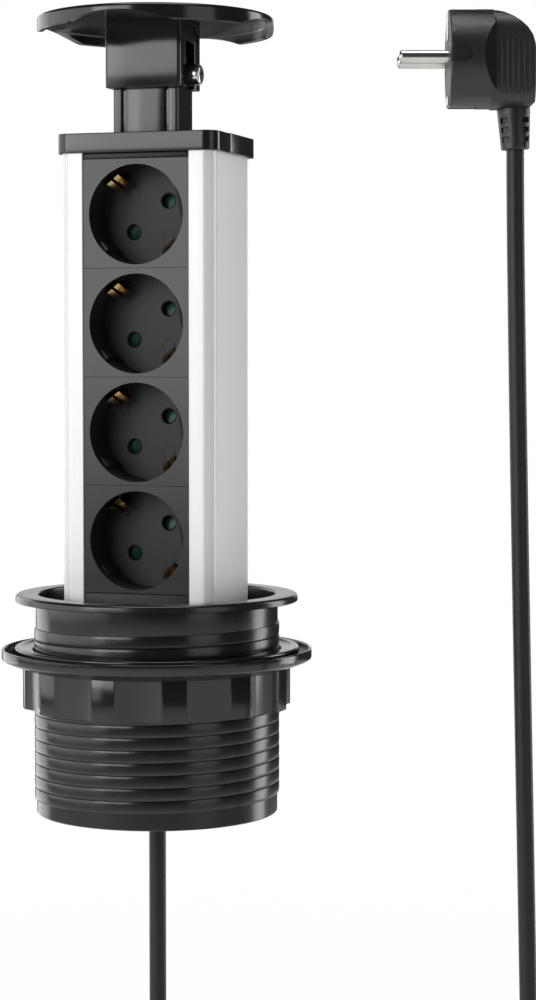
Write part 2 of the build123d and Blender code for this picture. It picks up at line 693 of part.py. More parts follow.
with BuildPart() as screw_set:
    with BuildSketch(front(CARRIER_BACK + 1.4)):
        with Locations(*POST_SPOTS):
            Circle(POST_HOLE_R + 0.9)
    extrude(amount=1.4)
    with BuildSketch(front(CARRIER_BACK)):
        with Locations(*POST_SPOTS):
            Circle(POST_HOLE_R)
    extrude(amount=CARRIER_T + CARRIER_SCREW_IN)

WELL_Z = [MODULE_LOW + PITCH * (3 - n) + WELL_UP for n in range(4)]
for number, z in enumerate(WELL_Z, 1):
    for piece, label in ((socket, "socket"), (shutter, "shutter"), (earth_clip, "earth_clip"),
                         (contacts, "contacts"), (carrier, "carrier")):
        hand_in(piece.part.moved(Location((0, 0, z))), label + "_" + str(number))
with BuildPart() as carrier_screws:
    with Locations(*[(0, 0, z) for z in WELL_Z]):
        add(screw_set.part)
hand_in(carrier_screws.part, "carrier_screws")

# Bars that join the contacts of the four modules
BAR_LOW = WELL_Z[3] - BAR_BELOW
BAR_TOP = WELL_Z[0] + BAR_ABOVE
for label, x in (("live_bar", PIN_SPOTS[0][0]), ("neutral_bar", PIN_SPOTS[1][0]), ("earth_bar", 0.0)):
    with BuildPart() as bar:
        with BuildSketch(front(BAR_FRONT + BAR_T)):
            with Locations((x, (BAR_LOW + BAR_TOP) / 2)):
                Rectangle(EARTH_BAR_W if x == 0 else BAR_W, BAR_TOP - BAR_LOW)
        extrude(amount=BAR_T)
    hand_in(bar.part, label)

# Core wires from the cord gland up to the bars
GLAND_TOP = PROF_LOW + GLAND_NUT_T
for label, x, foot_x in (
    ("core_live", PIN_SPOTS[0][0], CORE_STEP),
    ("core_neutral", PIN_SPOTS[1][0], -CORE_STEP),
    ("core_earth", 0.0, 0.0),
):
    with BuildPart() as core:
        y = BAR_FRONT + BAR_T + CORE_R
        foot_y = 1.6 if x == 0 else -1.6
        with BuildLine():
            way = FilletPolyline(
                (foot_x, foot_y, GLAND_TOP), (foot_x, foot_y, GLAND_TOP + CORE_RISE),
                (x, y, BAR_LOW - CORE_BELOW), (x, y, BAR_LOW + CORE_JOIN), radius=CORE_BEND,
            )
        with BuildSketch(Plane(origin=way @ 0, z_dir=way % 0)):
            Circle(CORE_R)
        sweep(path=way)
    hand_in(core.part, label)

# Blank strips above and below the modules
for label, low, high in (
    ("panel_top_strip", MODULE_LOW + 4 * PITCH, PROF_TOP - 0.1),
    ("panel_bottom_strip", PROF_LOW + 0.2, MODULE_LOW - 0.1),
):
    with BuildPart() as strip:
        with BuildSketch(front(SHOULDER_FRONT)):
            with Locations((0, (low + high) / 2)):
                Rectangle(FACE_W, high - low)
        extrude(amount=SHOULDER_FRONT - MODULE_FRONT)
        with BuildSketch(front(SHOULDER_BACK)):
            with Locations((0, (low + high) / 2)):
                Rectangle(2 * SHOULDER_X, high - low)
        extrude(amount=SHOULDER_BACK - SHOULDER_FRONT)
    hand_in(strip.part, label)

# Foot: wider than the guide's opening, so it stops the tower at the top of its travel
with BuildPart() as foot:
    with BuildSketch(Plane.XY.offset(FOOT_LOW)):
        RectangleRounded(FOOT_W, FOOT_D, 7.0)
    extrude(amount=FOOT_T)
    chamfer(foot.faces().sort_by(Axis.Z)[0].edges(), 0.8)
    with BuildSketch(Plane.XY.offset(FOOT_LOW)):
        Circle(GLAND_R)
        with Locations(*screw_spots):
            Circle(SCREW_R)
    extrude(amount=FOOT_T, mode=Mode.SUBTRACT)
    with BuildSketch(Plane.XY.offset(FOOT_LOW)):
        with Locations(*screw_spots):
            Circle(SCREW_HEAD_R + 0.1)
    extrude(amount=2, mode=Mode.SUBTRACT)
hand_in(foot.part, "foot")

# Gland in the foot: a neck through it with a hexagon above and below
with BuildPart() as cord_gland:
    with BuildSketch(Plane.XY.offset(FOOT_LOW)):
        Circle(GLAND_R)
    extrude(amount=FOOT_T)
    with BuildSketch(Plane.XY.offset(PROF_LOW)):
        RegularPolygon(GLAND_ACROSS, 6)
    extrude(amount=GLAND_NUT_T)
    with BuildSketch(Plane.XY.offset(FOOT_LOW)):
        RegularPolygon(GLAND_ACROSS, 6)
    extrude(amount=-GLAND_COLLAR)
hand_in(cord_gland.part, "cord_gland")

# Tapered bend relief below the gland; it stays inside the tube when the tower is up
with BuildPart() as cord_relief:
    with BuildSketch(Plane.XY.offset(FOOT_LOW - GLAND_COLLAR)):
        Circle(CORD_R + 3)
    with BuildSketch(Plane.XY.offset(RELIEF_LOW)):
        Circle(CORD_R + 1)
    loft()
hand_in(cord_relief.part, "cord_relief")

with BuildPart() as cord_lower:
    with BuildSketch(Plane.XY.offset(LEAD_LOW)):
        Circle(CORD_R)
    extrude(amount=RELIEF_LOW - LEAD_LOW)
hand_in(cord_lower.part, "cord_lower")

# Coil of spare cord: half-turn arcs spiral in, climb one layer, and spiral out again
radii = [COIL_R - COIL_STEP * n for n in (0, 1, 2, 3, 4, 3, 2, 1)]
route = [at(0, 0, z) for z in (LEAD_LOW, COIL_Z)]
with BuildPart() as cord_coil:
    with BuildLine() as turns:
        Line(at(0, 0, LEAD_LOW), at(0, 0, COIL_Z))
        s = 0.0
        w = 0.0
        for n, r in enumerate(radii + [COIL_R]):
            low_half = n % 2 == 0
            centre = s + r if low_half else s - r
            start = math.pi if low_half else 0.0
            climb = n == 4
            arc = []
            for k in range(13 if n < 8 else 7):
                turn = start + math.pi * k / 12
                rise = LAYER * (1 - math.cos(math.pi * k / 12)) / 2 if climb else 0.0
                arc.append(at(centre + r * math.cos(turn), w - rise, COIL_Z + r * math.sin(turn)))
            if climb:
                Spline(*arc, tangents=[(0, 0, -1), (0, 0, 1)])
                w = -LAYER
            else:
                ThreePointArc(arc[0], arc[3], arc[6])
                if n < 8:
                    ThreePointArc(arc[6], arc[9], arc[12])
            route += arc[1:]
            s = s + 2 * r if low_half else s - 2 * r
        COIL_END_S = centre + END_RUN
        COIL_END = at(COIL_END_S, w, COIL_Z - COIL_R)
        Line(arc[6], COIL_END)
        route.append(COIL_END)
    with BuildSketch(Plane(origin=at(0, 0, LEAD_LOW), z_dir=(0, 0, -1))):
        Circle(CORD_R)
    sweep(path=turns.wires()[0])
hand_in(cord_coil.part, "cord_coil")

# Tie round the bundle at the coil's left side
with BuildPart() as coil_tie:
    bundle = 4 * COIL_STEP + 2 * CORD_R + 1.2
    stack = LAYER + 2 * CORD_R + 0.8
    middle = at(bundle / 2 - CORD_R - 0.4, stack / 2 - LAYER - CORD_R - 0.4, COIL_Z - TIE_W / 2)
    with BuildSketch(Plane(origin=middle, x_dir=RIGHT, z_dir=UP)):
        RectangleRounded(bundle + 2 * TIE_T, stack + 2 * TIE_T, CORD_R + 0.2)
        RectangleRounded(bundle, stack, CORD_R - 1, mode=Mode.SUBTRACT)
    extrude(amount=TIE_W)
hand_in(coil_tie.part, "coil_tie")

# Cord from the coil up to the plug: straight runs joined by tangent arcs
LOW_Z = COIL_Z - COIL_R
upper_points = [
    at(COIL_END_S, w, LOW_Z),
    at(COIL_END_S + 20, w, LOW_Z),
    at(LEAN_S, PLUG_W, LOW_Z),
    at(CORD_TOP_S, PLUG_W, CORD_TOP_Z - 36),
    at(CORD_TOP_S, PLUG_W, CORD_TOP_Z),
]


def bend_radii(points):
    """The radius of each bend: 0.45 of the shorter run over the tangent of half the turn."""
    found = []
    for before, here, after in zip(points, points[1:], points[2:]):
        first = here - before
        second = after - here
        half = math.radians(first.get_angle(second)) / 2
        found.append(0.45 * min(first.length, second.length) / math.tan(half))
    return found


upper_radii = bend_radii(upper_points)
with BuildPart() as cord_upper:
    with BuildLine() as rise:
        FilletPolyline(*upper_points, radius=upper_radii)
    with BuildSketch(Plane(origin=upper_points[0], z_dir=RIGHT)):
        Circle(CORD_R)
    sweep(path=rise.wires()[0])
hand_in(cord_upper.part, "cord_upper")

# Plug: round front, flat grips cut in its sides, raised rear housing, cord leaving downwards
PIN_PLACES = ((PIN_PCD / 2, 0), (-PIN_PCD / 2, 0))
with BuildPart() as plug_face:
    with BuildSketch(across(FACE_S)):
        Circle(PLUG_R)
        with PolarLocations(PLUG_R, 2):
            Rectangle(3.0, SIDE_SLOT_W, mode=Mode.SUBTRACT)
        with Locations(*PIN_PLACES):
            Circle(PIN_ROOT_R, mode=Mode.SUBTRACT)
        with PolarLocations(EARTH_R, 2, start_angle=90):
            Rectangle(2 * EARTH_T, EARTH_W, mode=Mode.SUBTRACT)
    extrude(amount=FACE_T)
hand_in(plug_face.part, "plug_face")

with BuildPart() as rear_form:
    side = Plane(origin=at(FACE_S, PLUG_W, PLUG_Z), x_dir=RIGHT, z_dir=-AWAY)
    with BuildSketch(side.offset(-REAR_HALF)):
        with BuildLine():
            Polyline((DRUM_LEN - 1, 18.3), (DRUM_LEN, 18.3))
            ThreePointArc((DRUM_LEN, 18.3), (27.5, 14.0), (REAR_END, 5.2))
            Polyline((REAR_END, 5.2), (REAR_END, -17.0), (REAR_END - 1.7, -18.7), (DRUM_LEN - 1, -18.7),
                     (DRUM_LEN - 1, 18.3))
        make_face()
    extrude(amount=2 * REAR_HALF)
    with BuildSketch(across(FACE_S + DRUM_LEN - 1)):
        RectangleRounded(2 * REAR_HALF, REAR_HIGH, REAR_ROUND)
    extrude(amount=REAR_END, mode=Mode.INTERSECT)

with BuildPart() as plug_body:
    with BuildSketch(across(FACE_S + FACE_T)):
        Circle(PLUG_R)
    extrude(amount=DRUM_LEN - FACE_T)
    with BuildSketch(across(FACE_S + FACE_T)):
        with PolarLocations(PLUG_R, 2):
            Rectangle(3.0, SIDE_SLOT_W)
    extrude(amount=6.0, mode=Mode.SUBTRACT)
    with BuildSketch(Plane(origin=at(FACE_S, PLUG_W, PLUG_Z - PLUG_R), x_dir=RIGHT, z_dir=UP)):
        with BuildLine():
            Polyline((GRIP_START, PLUG_R), (DRUM_LEN, REAR_HALF), (DRUM_LEN, PLUG_R + 1),
                     (GRIP_START, PLUG_R + 1), close=True)
        make_face()
        mirror(about=Plane.XZ)
    extrude(amount=2 * PLUG_R, mode=Mode.SUBTRACT)
    add(rear_form.part)
    with BuildSketch(across(FACE_S + FACE_T)):
        with Locations(*PIN_PLACES):
            Circle(PIN_ROOT_R)
    extrude(amount=PIN_ROOT - FACE_T, mode=Mode.SUBTRACT)
    with BuildSketch(across(FACE_S + FACE_T)):
        with PolarLocations(EARTH_R, 2, start_angle=90):
            Rectangle(2 * EARTH_T, EARTH_W)
    extrude(amount=PIN_ROOT - FACE_T, mode=Mode.SUBTRACT)
hand_in(plug_body.part, "plug_body")

with BuildPart() as plug_pins:
    with BuildSketch(across(FACE_S - PASS)):
        with Locations(*PIN_PLACES):
            Circle(PIN_R)
    extrude(amount=PASS - PIN_LEN)
    tips = plug_pins.faces().sort_by(Axis(at(0, 0, 0), RIGHT))[:2]
    fillet(tips.edges(), 1.0)
    with BuildSketch(across(FACE_S - PASS)):
        with Locations(*PIN_PLACES):
            Circle(PIN_ROOT_R)
    extrude(amount=PASS + PIN_ROOT)
hand_in(plug_pins.part, "plug_pins")

with BuildPart() as plug_earth_contacts:
    with BuildSketch(across(FACE_S)):
        with PolarLocations(EARTH_R - EARTH_T / 2, 2, start_angle=90):
            Rectangle(EARTH_T, EARTH_W)
    extrude(amount=PIN_ROOT)
hand_in(plug_earth_contacts.part, "plug_earth_contacts")

with BuildPart() as plug_strain_relief:
    body_low = PLUG_Z - 18.7
    with BuildSketch(Plane(origin=at(CORD_TOP_S, PLUG_W, CORD_TOP_Z), z_dir=UP)):
        Circle(CORD_R + 1.9)
    with BuildSketch(Plane(origin=at(CORD_TOP_S, PLUG_W, body_low), z_dir=UP)):
        Circle(CORD_R + 2.9)
    loft()
    for z in (CORD_TOP_Z + 2.6, CORD_TOP_Z + 6.2, CORD_TOP_Z + 9.8):
        with BuildSketch(Plane(origin=at(CORD_TOP_S, PLUG_W, z), x_dir=RIGHT, z_dir=UP)):
            with PolarLocations(CORD_R + 2.3, 4, start_angle=45):
                Rectangle(2.4, 3.0)
        extrude(amount=1.8, mode=Mode.SUBTRACT)
hand_in(plug_strain_relief.part, "plug_strain_relief")

# Printed facts about the wound and bent cord
closest = min(
    (route[i] - route[j]).length - 2 * CORD_R
    for i in range(len(route)) for j in range(i + 8, len(route))
)
print("coil: least gap to itself %.2f mm over %d points" % (closest, len(route)))
print("upper cord bend radii", [round(r, 1) for r in upper_radii])
for label, body, path in (("coil", cord_coil, turns), ("upper cord", cord_upper, rise)):
    length = path.wires()[0].length
    share = body.part.volume / (math.pi * CORD_R ** 2 * length)
    print("%s: length %.1f mm, volume over section times length %.4f" % (label, length, share))
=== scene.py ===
import json
import math

import bmesh
import bpy
from mathutils import Matrix, Vector


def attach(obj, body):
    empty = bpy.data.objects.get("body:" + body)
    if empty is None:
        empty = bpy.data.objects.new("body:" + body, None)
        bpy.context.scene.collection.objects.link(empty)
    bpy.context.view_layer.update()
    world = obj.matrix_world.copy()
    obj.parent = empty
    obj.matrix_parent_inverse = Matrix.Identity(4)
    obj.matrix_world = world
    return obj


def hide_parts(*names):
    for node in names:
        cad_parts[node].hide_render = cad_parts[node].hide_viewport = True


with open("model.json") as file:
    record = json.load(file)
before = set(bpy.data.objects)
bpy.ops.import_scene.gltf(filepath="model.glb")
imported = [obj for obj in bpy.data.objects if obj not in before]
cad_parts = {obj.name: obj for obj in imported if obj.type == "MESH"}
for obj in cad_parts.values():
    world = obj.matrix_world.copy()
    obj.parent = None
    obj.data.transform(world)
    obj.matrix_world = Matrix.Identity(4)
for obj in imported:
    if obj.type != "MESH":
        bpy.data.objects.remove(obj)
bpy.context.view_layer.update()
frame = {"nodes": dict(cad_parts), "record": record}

bl_info = {
    "name": "Socket tower",
    "version": (1, 0, 0),
    "blender": (4, 5, 0),
    "location": "View3D > Sidebar > Socket tower",
    "description": "Dresses the packed socket tower and lights it",
    "category": "Object",
}

MM = 0.001
# The picture plane is turned about Z from the tower's front.
TURN = math.radians(17.6)
CORD_RADIUS = 3.4
WELL_PITCH = 42.5
WELL_LOWEST = 25.35
WELL_Z = [WELL_LOWEST + WELL_PITCH * (3 - n) for n in range(4)]
PIN_ANGLE = math.radians(40.0)
PIN_RADIUS = 9.5
COLUMN_LOW = -56.3
COLUMN_TOP = 176.9
BOSSES = ((27.0, 19.0), (-27.0, 19.0))
SCREW_SPOTS = BOSSES + ((27.0, -21.6), (-27.0, -21.6))
CAP_TOP = 184.6
NECK_Y = -3.0
NECK_TOP = 215.8
BLOCK_LOW = 202.9
GUIDE_Z = 208.2
LID_LOW = 224.8
LID_TOP = 231.3
COIL_Z = -216.0
COIL_RADIUS = 45.0
COIL_STEP = 3.65
COIL_LAYER = 7.3
PLUG_W = -43.0
PLUG_Z = 210.0
FACE_S = 112.9
CORD_TOP_S = 138.6
CORD_TOP_Z = 176.0
LEAN_S = 148.0
# The stage, in metres; lamps stand in mm from the tower's axis.
FLOOR_RADIUS = 2.2
FLOOR_LEVEL = -0.4885
CAMERA_PLACE = (0.3448, -0.9395, 0.0962)
CAMERA_DIP = 0.056
LAMP_AWAY = 1500
LAMP_AIM = 60
BEHIND = (-math.sin(TURN), math.cos(TURN), 0.0)


def at(s, w, z):
    """A point in metres from picture-plane lengths in mm: right, away from the viewer, up."""
    return Vector((
        (s * math.cos(TURN) - w * math.sin(TURN)) * MM,
        (s * math.sin(TURN) + w * math.cos(TURN)) * MM,
        z * MM,
    ))


# Modelling by hand: small steps that every piece uses.


def clear():
    """Leave edit mode and deselect everything."""
    if bpy.context.mode != "OBJECT":
        bpy.ops.object.mode_set(mode="OBJECT")
    bpy.ops.object.select_all(action="DESELECT")


def only(obj):
    """Make this object the one selected and active."""
    clear()
    obj.select_set(True)
    bpy.context.view_layer.objects.active = obj


def drawn(name, points, closed=True):
    """Draw a chain of edges through points in mm, each extruded from the one before."""
    clear()
    bpy.ops.mesh.primitive_plane_add(size=0.0001)
    obj = bpy.context.active_object
    obj.name = name
    obj.data.name = name
    bpy.ops.object.mode_set(mode="EDIT")
    bpy.ops.mesh.select_all(action="SELECT")
    bpy.ops.mesh.merge(type="CENTER")
    points = [Vector(p) * MM for p in points]
    bpy.ops.transform.translate(value=points[0])
    for before, here in zip(points, points[1:]):
        bpy.ops.mesh.extrude_vertices_move(TRANSFORM_OT_translate={"value": here - before})
    if closed:
        mesh = bmesh.from_edit_mesh(obj.data)
        mesh.verts.ensure_lookup_table()
        for vert in mesh.verts:
            vert.select = (vert.co - points[0]).length < 1e-7 or (vert.co - points[-1]).length < 1e-7
        mesh.select_flush_mode()
        bmesh.update_edit_mesh(obj.data)
        bpy.ops.mesh.edge_face_add()
    return obj


def outward():
    """Merge doubles and turn all faces outwards, in edit mode."""
    bpy.ops.mesh.select_all(action="SELECT")
    bpy.ops.mesh.remove_doubles(threshold=1e-6)
    bpy.ops.mesh.normals_make_consistent(inside=False)
    bpy.ops.object.mode_set(mode="OBJECT")


def turned(name, section, steps=128):
    """Spin a closed section of (radius, height) points about Z."""
    obj = drawn(name, [(r, 0, z) for r, z in section])
    bpy.ops.mesh.select_all(action="SELECT")
    bpy.ops.mesh.spin(steps=steps, angle=math.tau, center=(0, 0, 0), axis=(0, 0, 1))
    outward()
    return obj


def prism(name, outline, low, high):
    """Extrude a closed outline of (x, y) points from one height to another."""
    obj = drawn(name, [(x, y, low) for x, y in outline])
    bpy.ops.mesh.select_all(action="SELECT")
    bpy.ops.mesh.edge_face_add()
    bpy.ops.mesh.extrude_region_move(TRANSFORM_OT_translate={"value": (0, 0, (high - low) * MM)})
    outward()
    return obj


def block(name, low, high):
    """A cube between two corners in mm."""
    clear()
    size = [(b - a) * MM for a, b in zip(low, high)]
    middle = [(a + b) / 2 * MM for a, b in zip(low, high)]
    bpy.ops.mesh.primitive_cube_add(size=1, location=middle)
    obj = bpy.context.active_object
    obj.name = name
    obj.data.name = name
    bpy.ops.transform.resize(value=size, center_override=middle)
    bpy.ops.object.transform_apply(location=True, rotation=True, scale=True)
    return obj


def drum(name, radius, low, high, steps=64, place=(0, 0)):
    """A cylinder about a vertical axis at this place."""
    clear()
    bpy.ops.mesh.primitive_cylinder_add(
        vertices=steps, radius=radius * MM, depth=(high - low) * MM,
        location=(place[0] * MM, place[1] * MM, (low + high) / 2 * MM),
    )
    obj = bpy.context.active_object
    obj.name = name
    obj.data.name = name
    bpy.ops.object.transform_apply(location=True, rotation=True, scale=True)
    return obj


def laid(obj, matrix):
    """Turn and move a piece that was made about the origin, and apply the place."""
    only(obj)
    obj.matrix_world = matrix
    bpy.ops.object.transform_apply(location=True, rotation=True, scale=True)
    return obj


def facing_front(place=(0, 0, 0)):
    """The place that turns +Z to the tower's front and +Y upwards."""
    return Matrix.Translation(Vector(place) * MM) @ Matrix.Rotation(math.pi / 2, 4, "X")


def facing_right(place=(0, 0, 0)):
    """The place that turns +Z to the tower's right."""
    return Matrix.Translation(Vector(place) * MM) @ Matrix.Rotation(math.pi / 2, 4, "Y")


def cut(obj, tool, how="DIFFERENCE"):
    """Boolean a tool out of a piece, or on to it, and drop the tool."""
    only(obj)
    change = obj.modifiers.new("cut", "BOOLEAN")
    change.operation = how
    change.solver = "EXACT"
    change.object = tool
    bpy.ops.object.modifier_apply(modifier=change.name)
    bpy.data.objects.remove(tool, do_unlink=True)
    return obj


def softened(obj, width=0.3, segments=2, angle=40):
    """Bevel the sharp edges."""
    only(obj)
    change = obj.modifiers.new("bevel", "BEVEL")
    change.width = width * MM
    change.segments = segments
    change.limit_method = "ANGLE"
    change.angle_limit = math.radians(angle)
    change.harden_normals = False
    change.use_clamp_overlap = True
    bpy.ops.object.modifier_apply(modifier=change.name)
    return obj


def joined(name, pieces):
    """Join several meshes into one piece."""
    clear()
    for piece in pieces:
        piece.select_set(True)
    bpy.context.view_layer.objects.active = pieces[0]
    if len(pieces) > 1:
        bpy.ops.object.join()
    obj = bpy.context.active_object
    obj.name = name
    obj.data.name = name
    return obj


def copied(obj, name, move):
    """A copy moved by mm. Edit mode writes its mesh anew, so it shares no data with the first."""
    only(obj)
    bpy.ops.object.duplicate()
    twin = bpy.context.active_object
    twin.name = name
    twin.data.name = name
    bpy.ops.transform.translate(value=Vector(move) * MM)
    bpy.ops.object.transform_apply(location=True, rotation=True, scale=True)
    bpy.ops.object.mode_set(mode="EDIT")
    bpy.ops.object.mode_set(mode="OBJECT")
    return twin


def done(obj, body, slot, nodes, smooth=35, paint=""):
    """Shade a finished piece, paint it by its slot or a paint of its own, hang it on its body and hide the
    CAD pieces it replaces.
    """
    only(obj)
    if obj.type == "MESH":
        bpy.ops.object.shade_smooth_by_angle(angle=math.radians(smooth))
    obj.data.materials.clear()
    obj.data.materials.append(PAINTS[paint or slot])
    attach(obj, body)
    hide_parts(*nodes)
    return obj


def arc(cx, cy, radius, start, end, steps=8):
    """Points along an arc, angles in degrees."""
    return [
        (cx + radius * math.cos(math.radians(start + (end - start) * k / steps)),
         cy + radius * math.sin(math.radians(start + (end - start) * k / steps)))
        for k in range(steps + 1)
    ]


def rounded(width, depth, radius, steps=6, middle=(0, 0)):
    """A rounded rectangle's outline."""
    x, y = width / 2 - radius, depth / 2 - radius
    cx, cy = middle
    return (
        arc(cx + x, cy + y, radius, 0, 90, steps) + arc(cx - x, cy + y, radius, 90, 180, steps)
        + arc(cx - x, cy - y, radius, 180, 270, steps) + arc(cx + x, cy - y, radius, 270, 360, steps)
    )


# Materials: shader maths written as expressions.


class Value:
    """A node socket that can be added to, multiplied and so on."""

    def __init__(self, paint, socket):
        self.paint = paint
        self.socket = socket

    def _maths(self, operation, first, second):
        return self.paint.node("ShaderNodeMath", {"operation": operation}, {0: first, 1: second})

    def __add__(self, other):
        return self._maths("ADD", self, other)

    __radd__ = __add__

    def __sub__(self, other):
        return self._maths("SUBTRACT", self, other)

    def __rsub__(self, other):
        return self._maths("SUBTRACT", other, self)

    def __mul__(self, other):
        return self._maths("MULTIPLY", self, other)

    __rmul__ = __mul__


class Nodes:
    """Any node tree to which nodes are added one by one."""

    def __init__(self, tree):
        self.tree = tree

    def node(self, kind, settings=None, inputs=None, output=0):
        """Add a node: settings first, then its sockets' values or links."""
        made = self.tree.nodes.new(kind)
        for key, value in (settings or {}).items():
            setattr(made, key, value)
        for key, value in (inputs or {}).items():
            if isinstance(value, Value):
                self.tree.links.new(value.socket, made.inputs[key])
            else:
                made.inputs[key].default_value = value
        return Value(self, made.outputs[output])

    def ramp(self, value, low, high, start=0.0, end=1.0):
        """A smooth step from start to end as the value goes from low to high."""
        settings = {"interpolation_type": "SMOOTHSTEP"}
        limits = {"From Min": low, "From Max": high, "To Min": start, "To Max": end}
        return self.node("ShaderNodeMapRange", settings, {"Value": value, **limits}, output="Result")


class Paint(Nodes):
    """One procedural material, built node by node."""

    def __init__(self, name):
        self.material = bpy.data.materials.new(name)
        self.material.use_nodes = True
        super().__init__(self.material.node_tree)
        self.tree.nodes.clear()
        self.output = self.tree.nodes.new("ShaderNodeOutputMaterial")
        self.shader = self.tree.nodes.new("ShaderNodeBsdfPrincipled")
        self.tree.links.new(self.shader.outputs[0], self.output.inputs["Surface"])

    def set(self, **sockets):
        """Set or link the shader's own sockets; underscores stand for spaces."""
        for key, value in sockets.items():
            socket = self.shader.inputs[key.replace("_", " ")]
            if isinstance(value, Value):
                self.tree.links.new(value.socket, socket)
            else:
                socket.default_value = value

    def place(self, stretch=(1, 1, 1)):
        """Object coordinates in metres, stretched."""
        where = self.node("ShaderNodeTexCoord", output="Object")
        return self.node("ShaderNodeMapping", None, {"Vector": where, "Scale": stretch})

    def noise(self, scale, stretch=(1, 1, 1), detail=3.0):
        """Noise from 0 to 1 at this many cells a metre."""
        return self.node(
            "ShaderNodeTexNoise", None,
            {"Vector": self.place(stretch), "Scale": scale, "Detail": detail}, output="Fac",
        )

    def mixed(self, share, first, second):
        """A colour between two colours."""
        return self.node(
            "ShaderNodeMix", {"data_type": "RGBA"}, {"Factor": share, 6: first, 7: second}, output=2,
        )

    def bump(self, height, strength, distance):
        """A normal from a height."""
        settings = {"Strength": strength, "Distance": distance, "Height": height}
        return self.node("ShaderNodeBump", None, settings, output="Normal")


def tinted(colour, share=1.0):
    """A colour with alpha, darker or lighter by this share."""
    return (*[c * share for c in colour], 1)


def moulded(name, colour, rough, grain, shine=0.65, spread=0.35):
    """Moulded plastic: slight flow marks in colour and gloss, and a fine skin."""
    paint = Paint(name)
    flow = paint.noise(38.0, (1, 1, 0.35), 4.0)
    skin = paint.noise(2600.0, detail=2.0)
    paint.set(
        Base_Color=paint.mixed(flow, tinted(colour, 1 - spread), tinted(colour, 1 + spread)),
        Roughness=flow * 0.10 + (rough - 0.05) + skin * 0.03,
        Normal=paint.bump(skin + flow * 0.4, grain, 0.00012),
    )
    paint.set(Specular_IOR_Level=shine)
    return paint.material


def outlet_plastic(name, colour):
    """Polished plate with a matt moulded floor down in the well."""
    paint = Paint(name)
    where = paint.node("ShaderNodeTexCoord", output="Object")
    depth = paint.node("ShaderNodeSeparateXYZ", None, {"Vector": where}, output="Y")
    sunk = paint.ramp(depth, -0.0215, -0.009)
    skin = paint.noise(2600.0, detail=2.0)
    flow = paint.noise(38.0, (1, 1, 0.35), 4.0)
    paint.set(
        Base_Color=paint.mixed(flow, tinted(colour, 0.65), tinted(colour, 1.35)),
        Roughness=sunk * 0.30 + flow * 0.06 + 0.19,
        Normal=paint.bump(skin + flow * 0.4, 0.10, 0.00012),
    )
    paint.set(Specular_IOR_Level=0.53)
    return paint.material


def anodised(name):
    """Aluminium with a fine grain along the column, clouded a little."""
    paint = Paint(name)
    grain = paint.noise(1500.0, (1, 1, 0.012), 3.0)
    cloud = paint.noise(22.0, (1, 1, 0.5), 3.0)
    shade = grain * 0.45 + cloud * 0.55
    paint.set(
        Base_Color=paint.mixed(shade, (0.74, 0.74, 0.75, 1), (0.84, 0.84, 0.845, 1)),
        Roughness=grain * 0.12 + 0.38 + cloud * 0.04,
        Normal=paint.bump(grain, 0.22, 0.00004),
    )
    paint.set(Metallic=0.35)
    return paint.material


def metal(name, colour, rough, scratch=0.2):
    """Plated or plain metal with faint scratches and tarnish."""
    paint = Paint(name)
    fine = paint.noise(1800.0)
    stain = paint.noise(160.0, detail=4.0)
    paint.set(
        Base_Color=paint.mixed(stain, tinted(colour, 0.72), tinted(colour)),
        Roughness=fine * 0.14 + (rough - 0.05) + stain * 0.06,
        Normal=paint.bump(fine, scratch, 0.00003),
    )
    paint.set(Metallic=1.0)
    return paint.material


def jacket(name, colour, rough=0.44):
    """Cord jacket: soft sheen with fine lengthways drag marks."""
    paint = Paint(name)
    drag = paint.noise(900.0, (1, 1, 0.04), 3.0)
    dust = paint.noise(240.0, detail=4.0)
    paint.set(
        Base_Color=paint.mixed(dust, tinted(colour, 0.75), tinted(colour, 1.3)),
        Roughness=dust * 0.12 + (rough - 0.06),
        Normal=paint.bump(drag * 0.6 + dust * 0.4, 0.16, 0.00008),
    )
    paint.set(Specular_IOR_Level=0.4)
    return paint.material


PAINTS = {}


def make_paints(sizes):
    """All the finishes, by the record's slot names and a few of the scene's own."""
    black = tuple(sizes.plastic)
    PAINTS["black_plastic"] = moulded("gloss_black", black, 0.14, 0.05)
    PAINTS["socket_plastic"] = outlet_plastic("socket_black", black)
    PAINTS["blank_plastic"] = moulded("blank_black", black, 0.26, 0.08, shine=0.2)
    PAINTS["thread_plastic"] = moulded("tube_black", black, 0.20, 0.08)
    PAINTS["plug_plastic"] = moulded("plug_black", (0.012, 0.012, 0.013), 0.40, 0.30)
    PAINTS["cord_jacket"] = jacket("cord_black", (0.012, 0.012, 0.013))
    PAINTS["aluminium"] = anodised("anodised_silver")
    PAINTS["brass"] = metal("brass", (0.66, 0.45, 0.18), 0.20)
    PAINTS["bright_metal"] = metal("nickel", (0.80, 0.78, 0.74), 0.16, 0.12)
    PAINTS["screw_steel"] = metal("zinc_steel", (0.55, 0.55, 0.56), 0.34, 0.3)
    # The shutters' own green, made darker as painted shade for their place deep in the pin holes.
    PAINTS["shutter_green"] = moulded("shutter_green", (0.006, 0.055, 0.032), 0.32, 0.15, 0.25)
    PAINTS["core_live"] = jacket("core_brown", (0.16, 0.06, 0.025))
    PAINTS["core_neutral"] = jacket("core_blue", (0.02, 0.07, 0.32))
    PAINTS["core_earth"] = jacket("core_green_yellow", (0.12, 0.30, 0.04))


def screw_head(radius, height):
    """A small pan head about Z with its underside at zero and a cross recess."""
    crown = height * 0.55
    section = [(0.001, 0), (radius, 0), (radius, height - crown)]
    section += arc(radius - crown, height - crown, crown, 0, 90, 4) + [(0.001, height)]
    head = turned("head", section, 32)
    reach = radius * 0.62
    half = radius * 0.14
    for turn in (0, math.pi / 2):
        tool = block("tool", (-reach, -half, height * 0.4), (reach, half, height + 1))
        cut(head, laid(tool, Matrix.Rotation(turn, 4, "Z")))
    return head


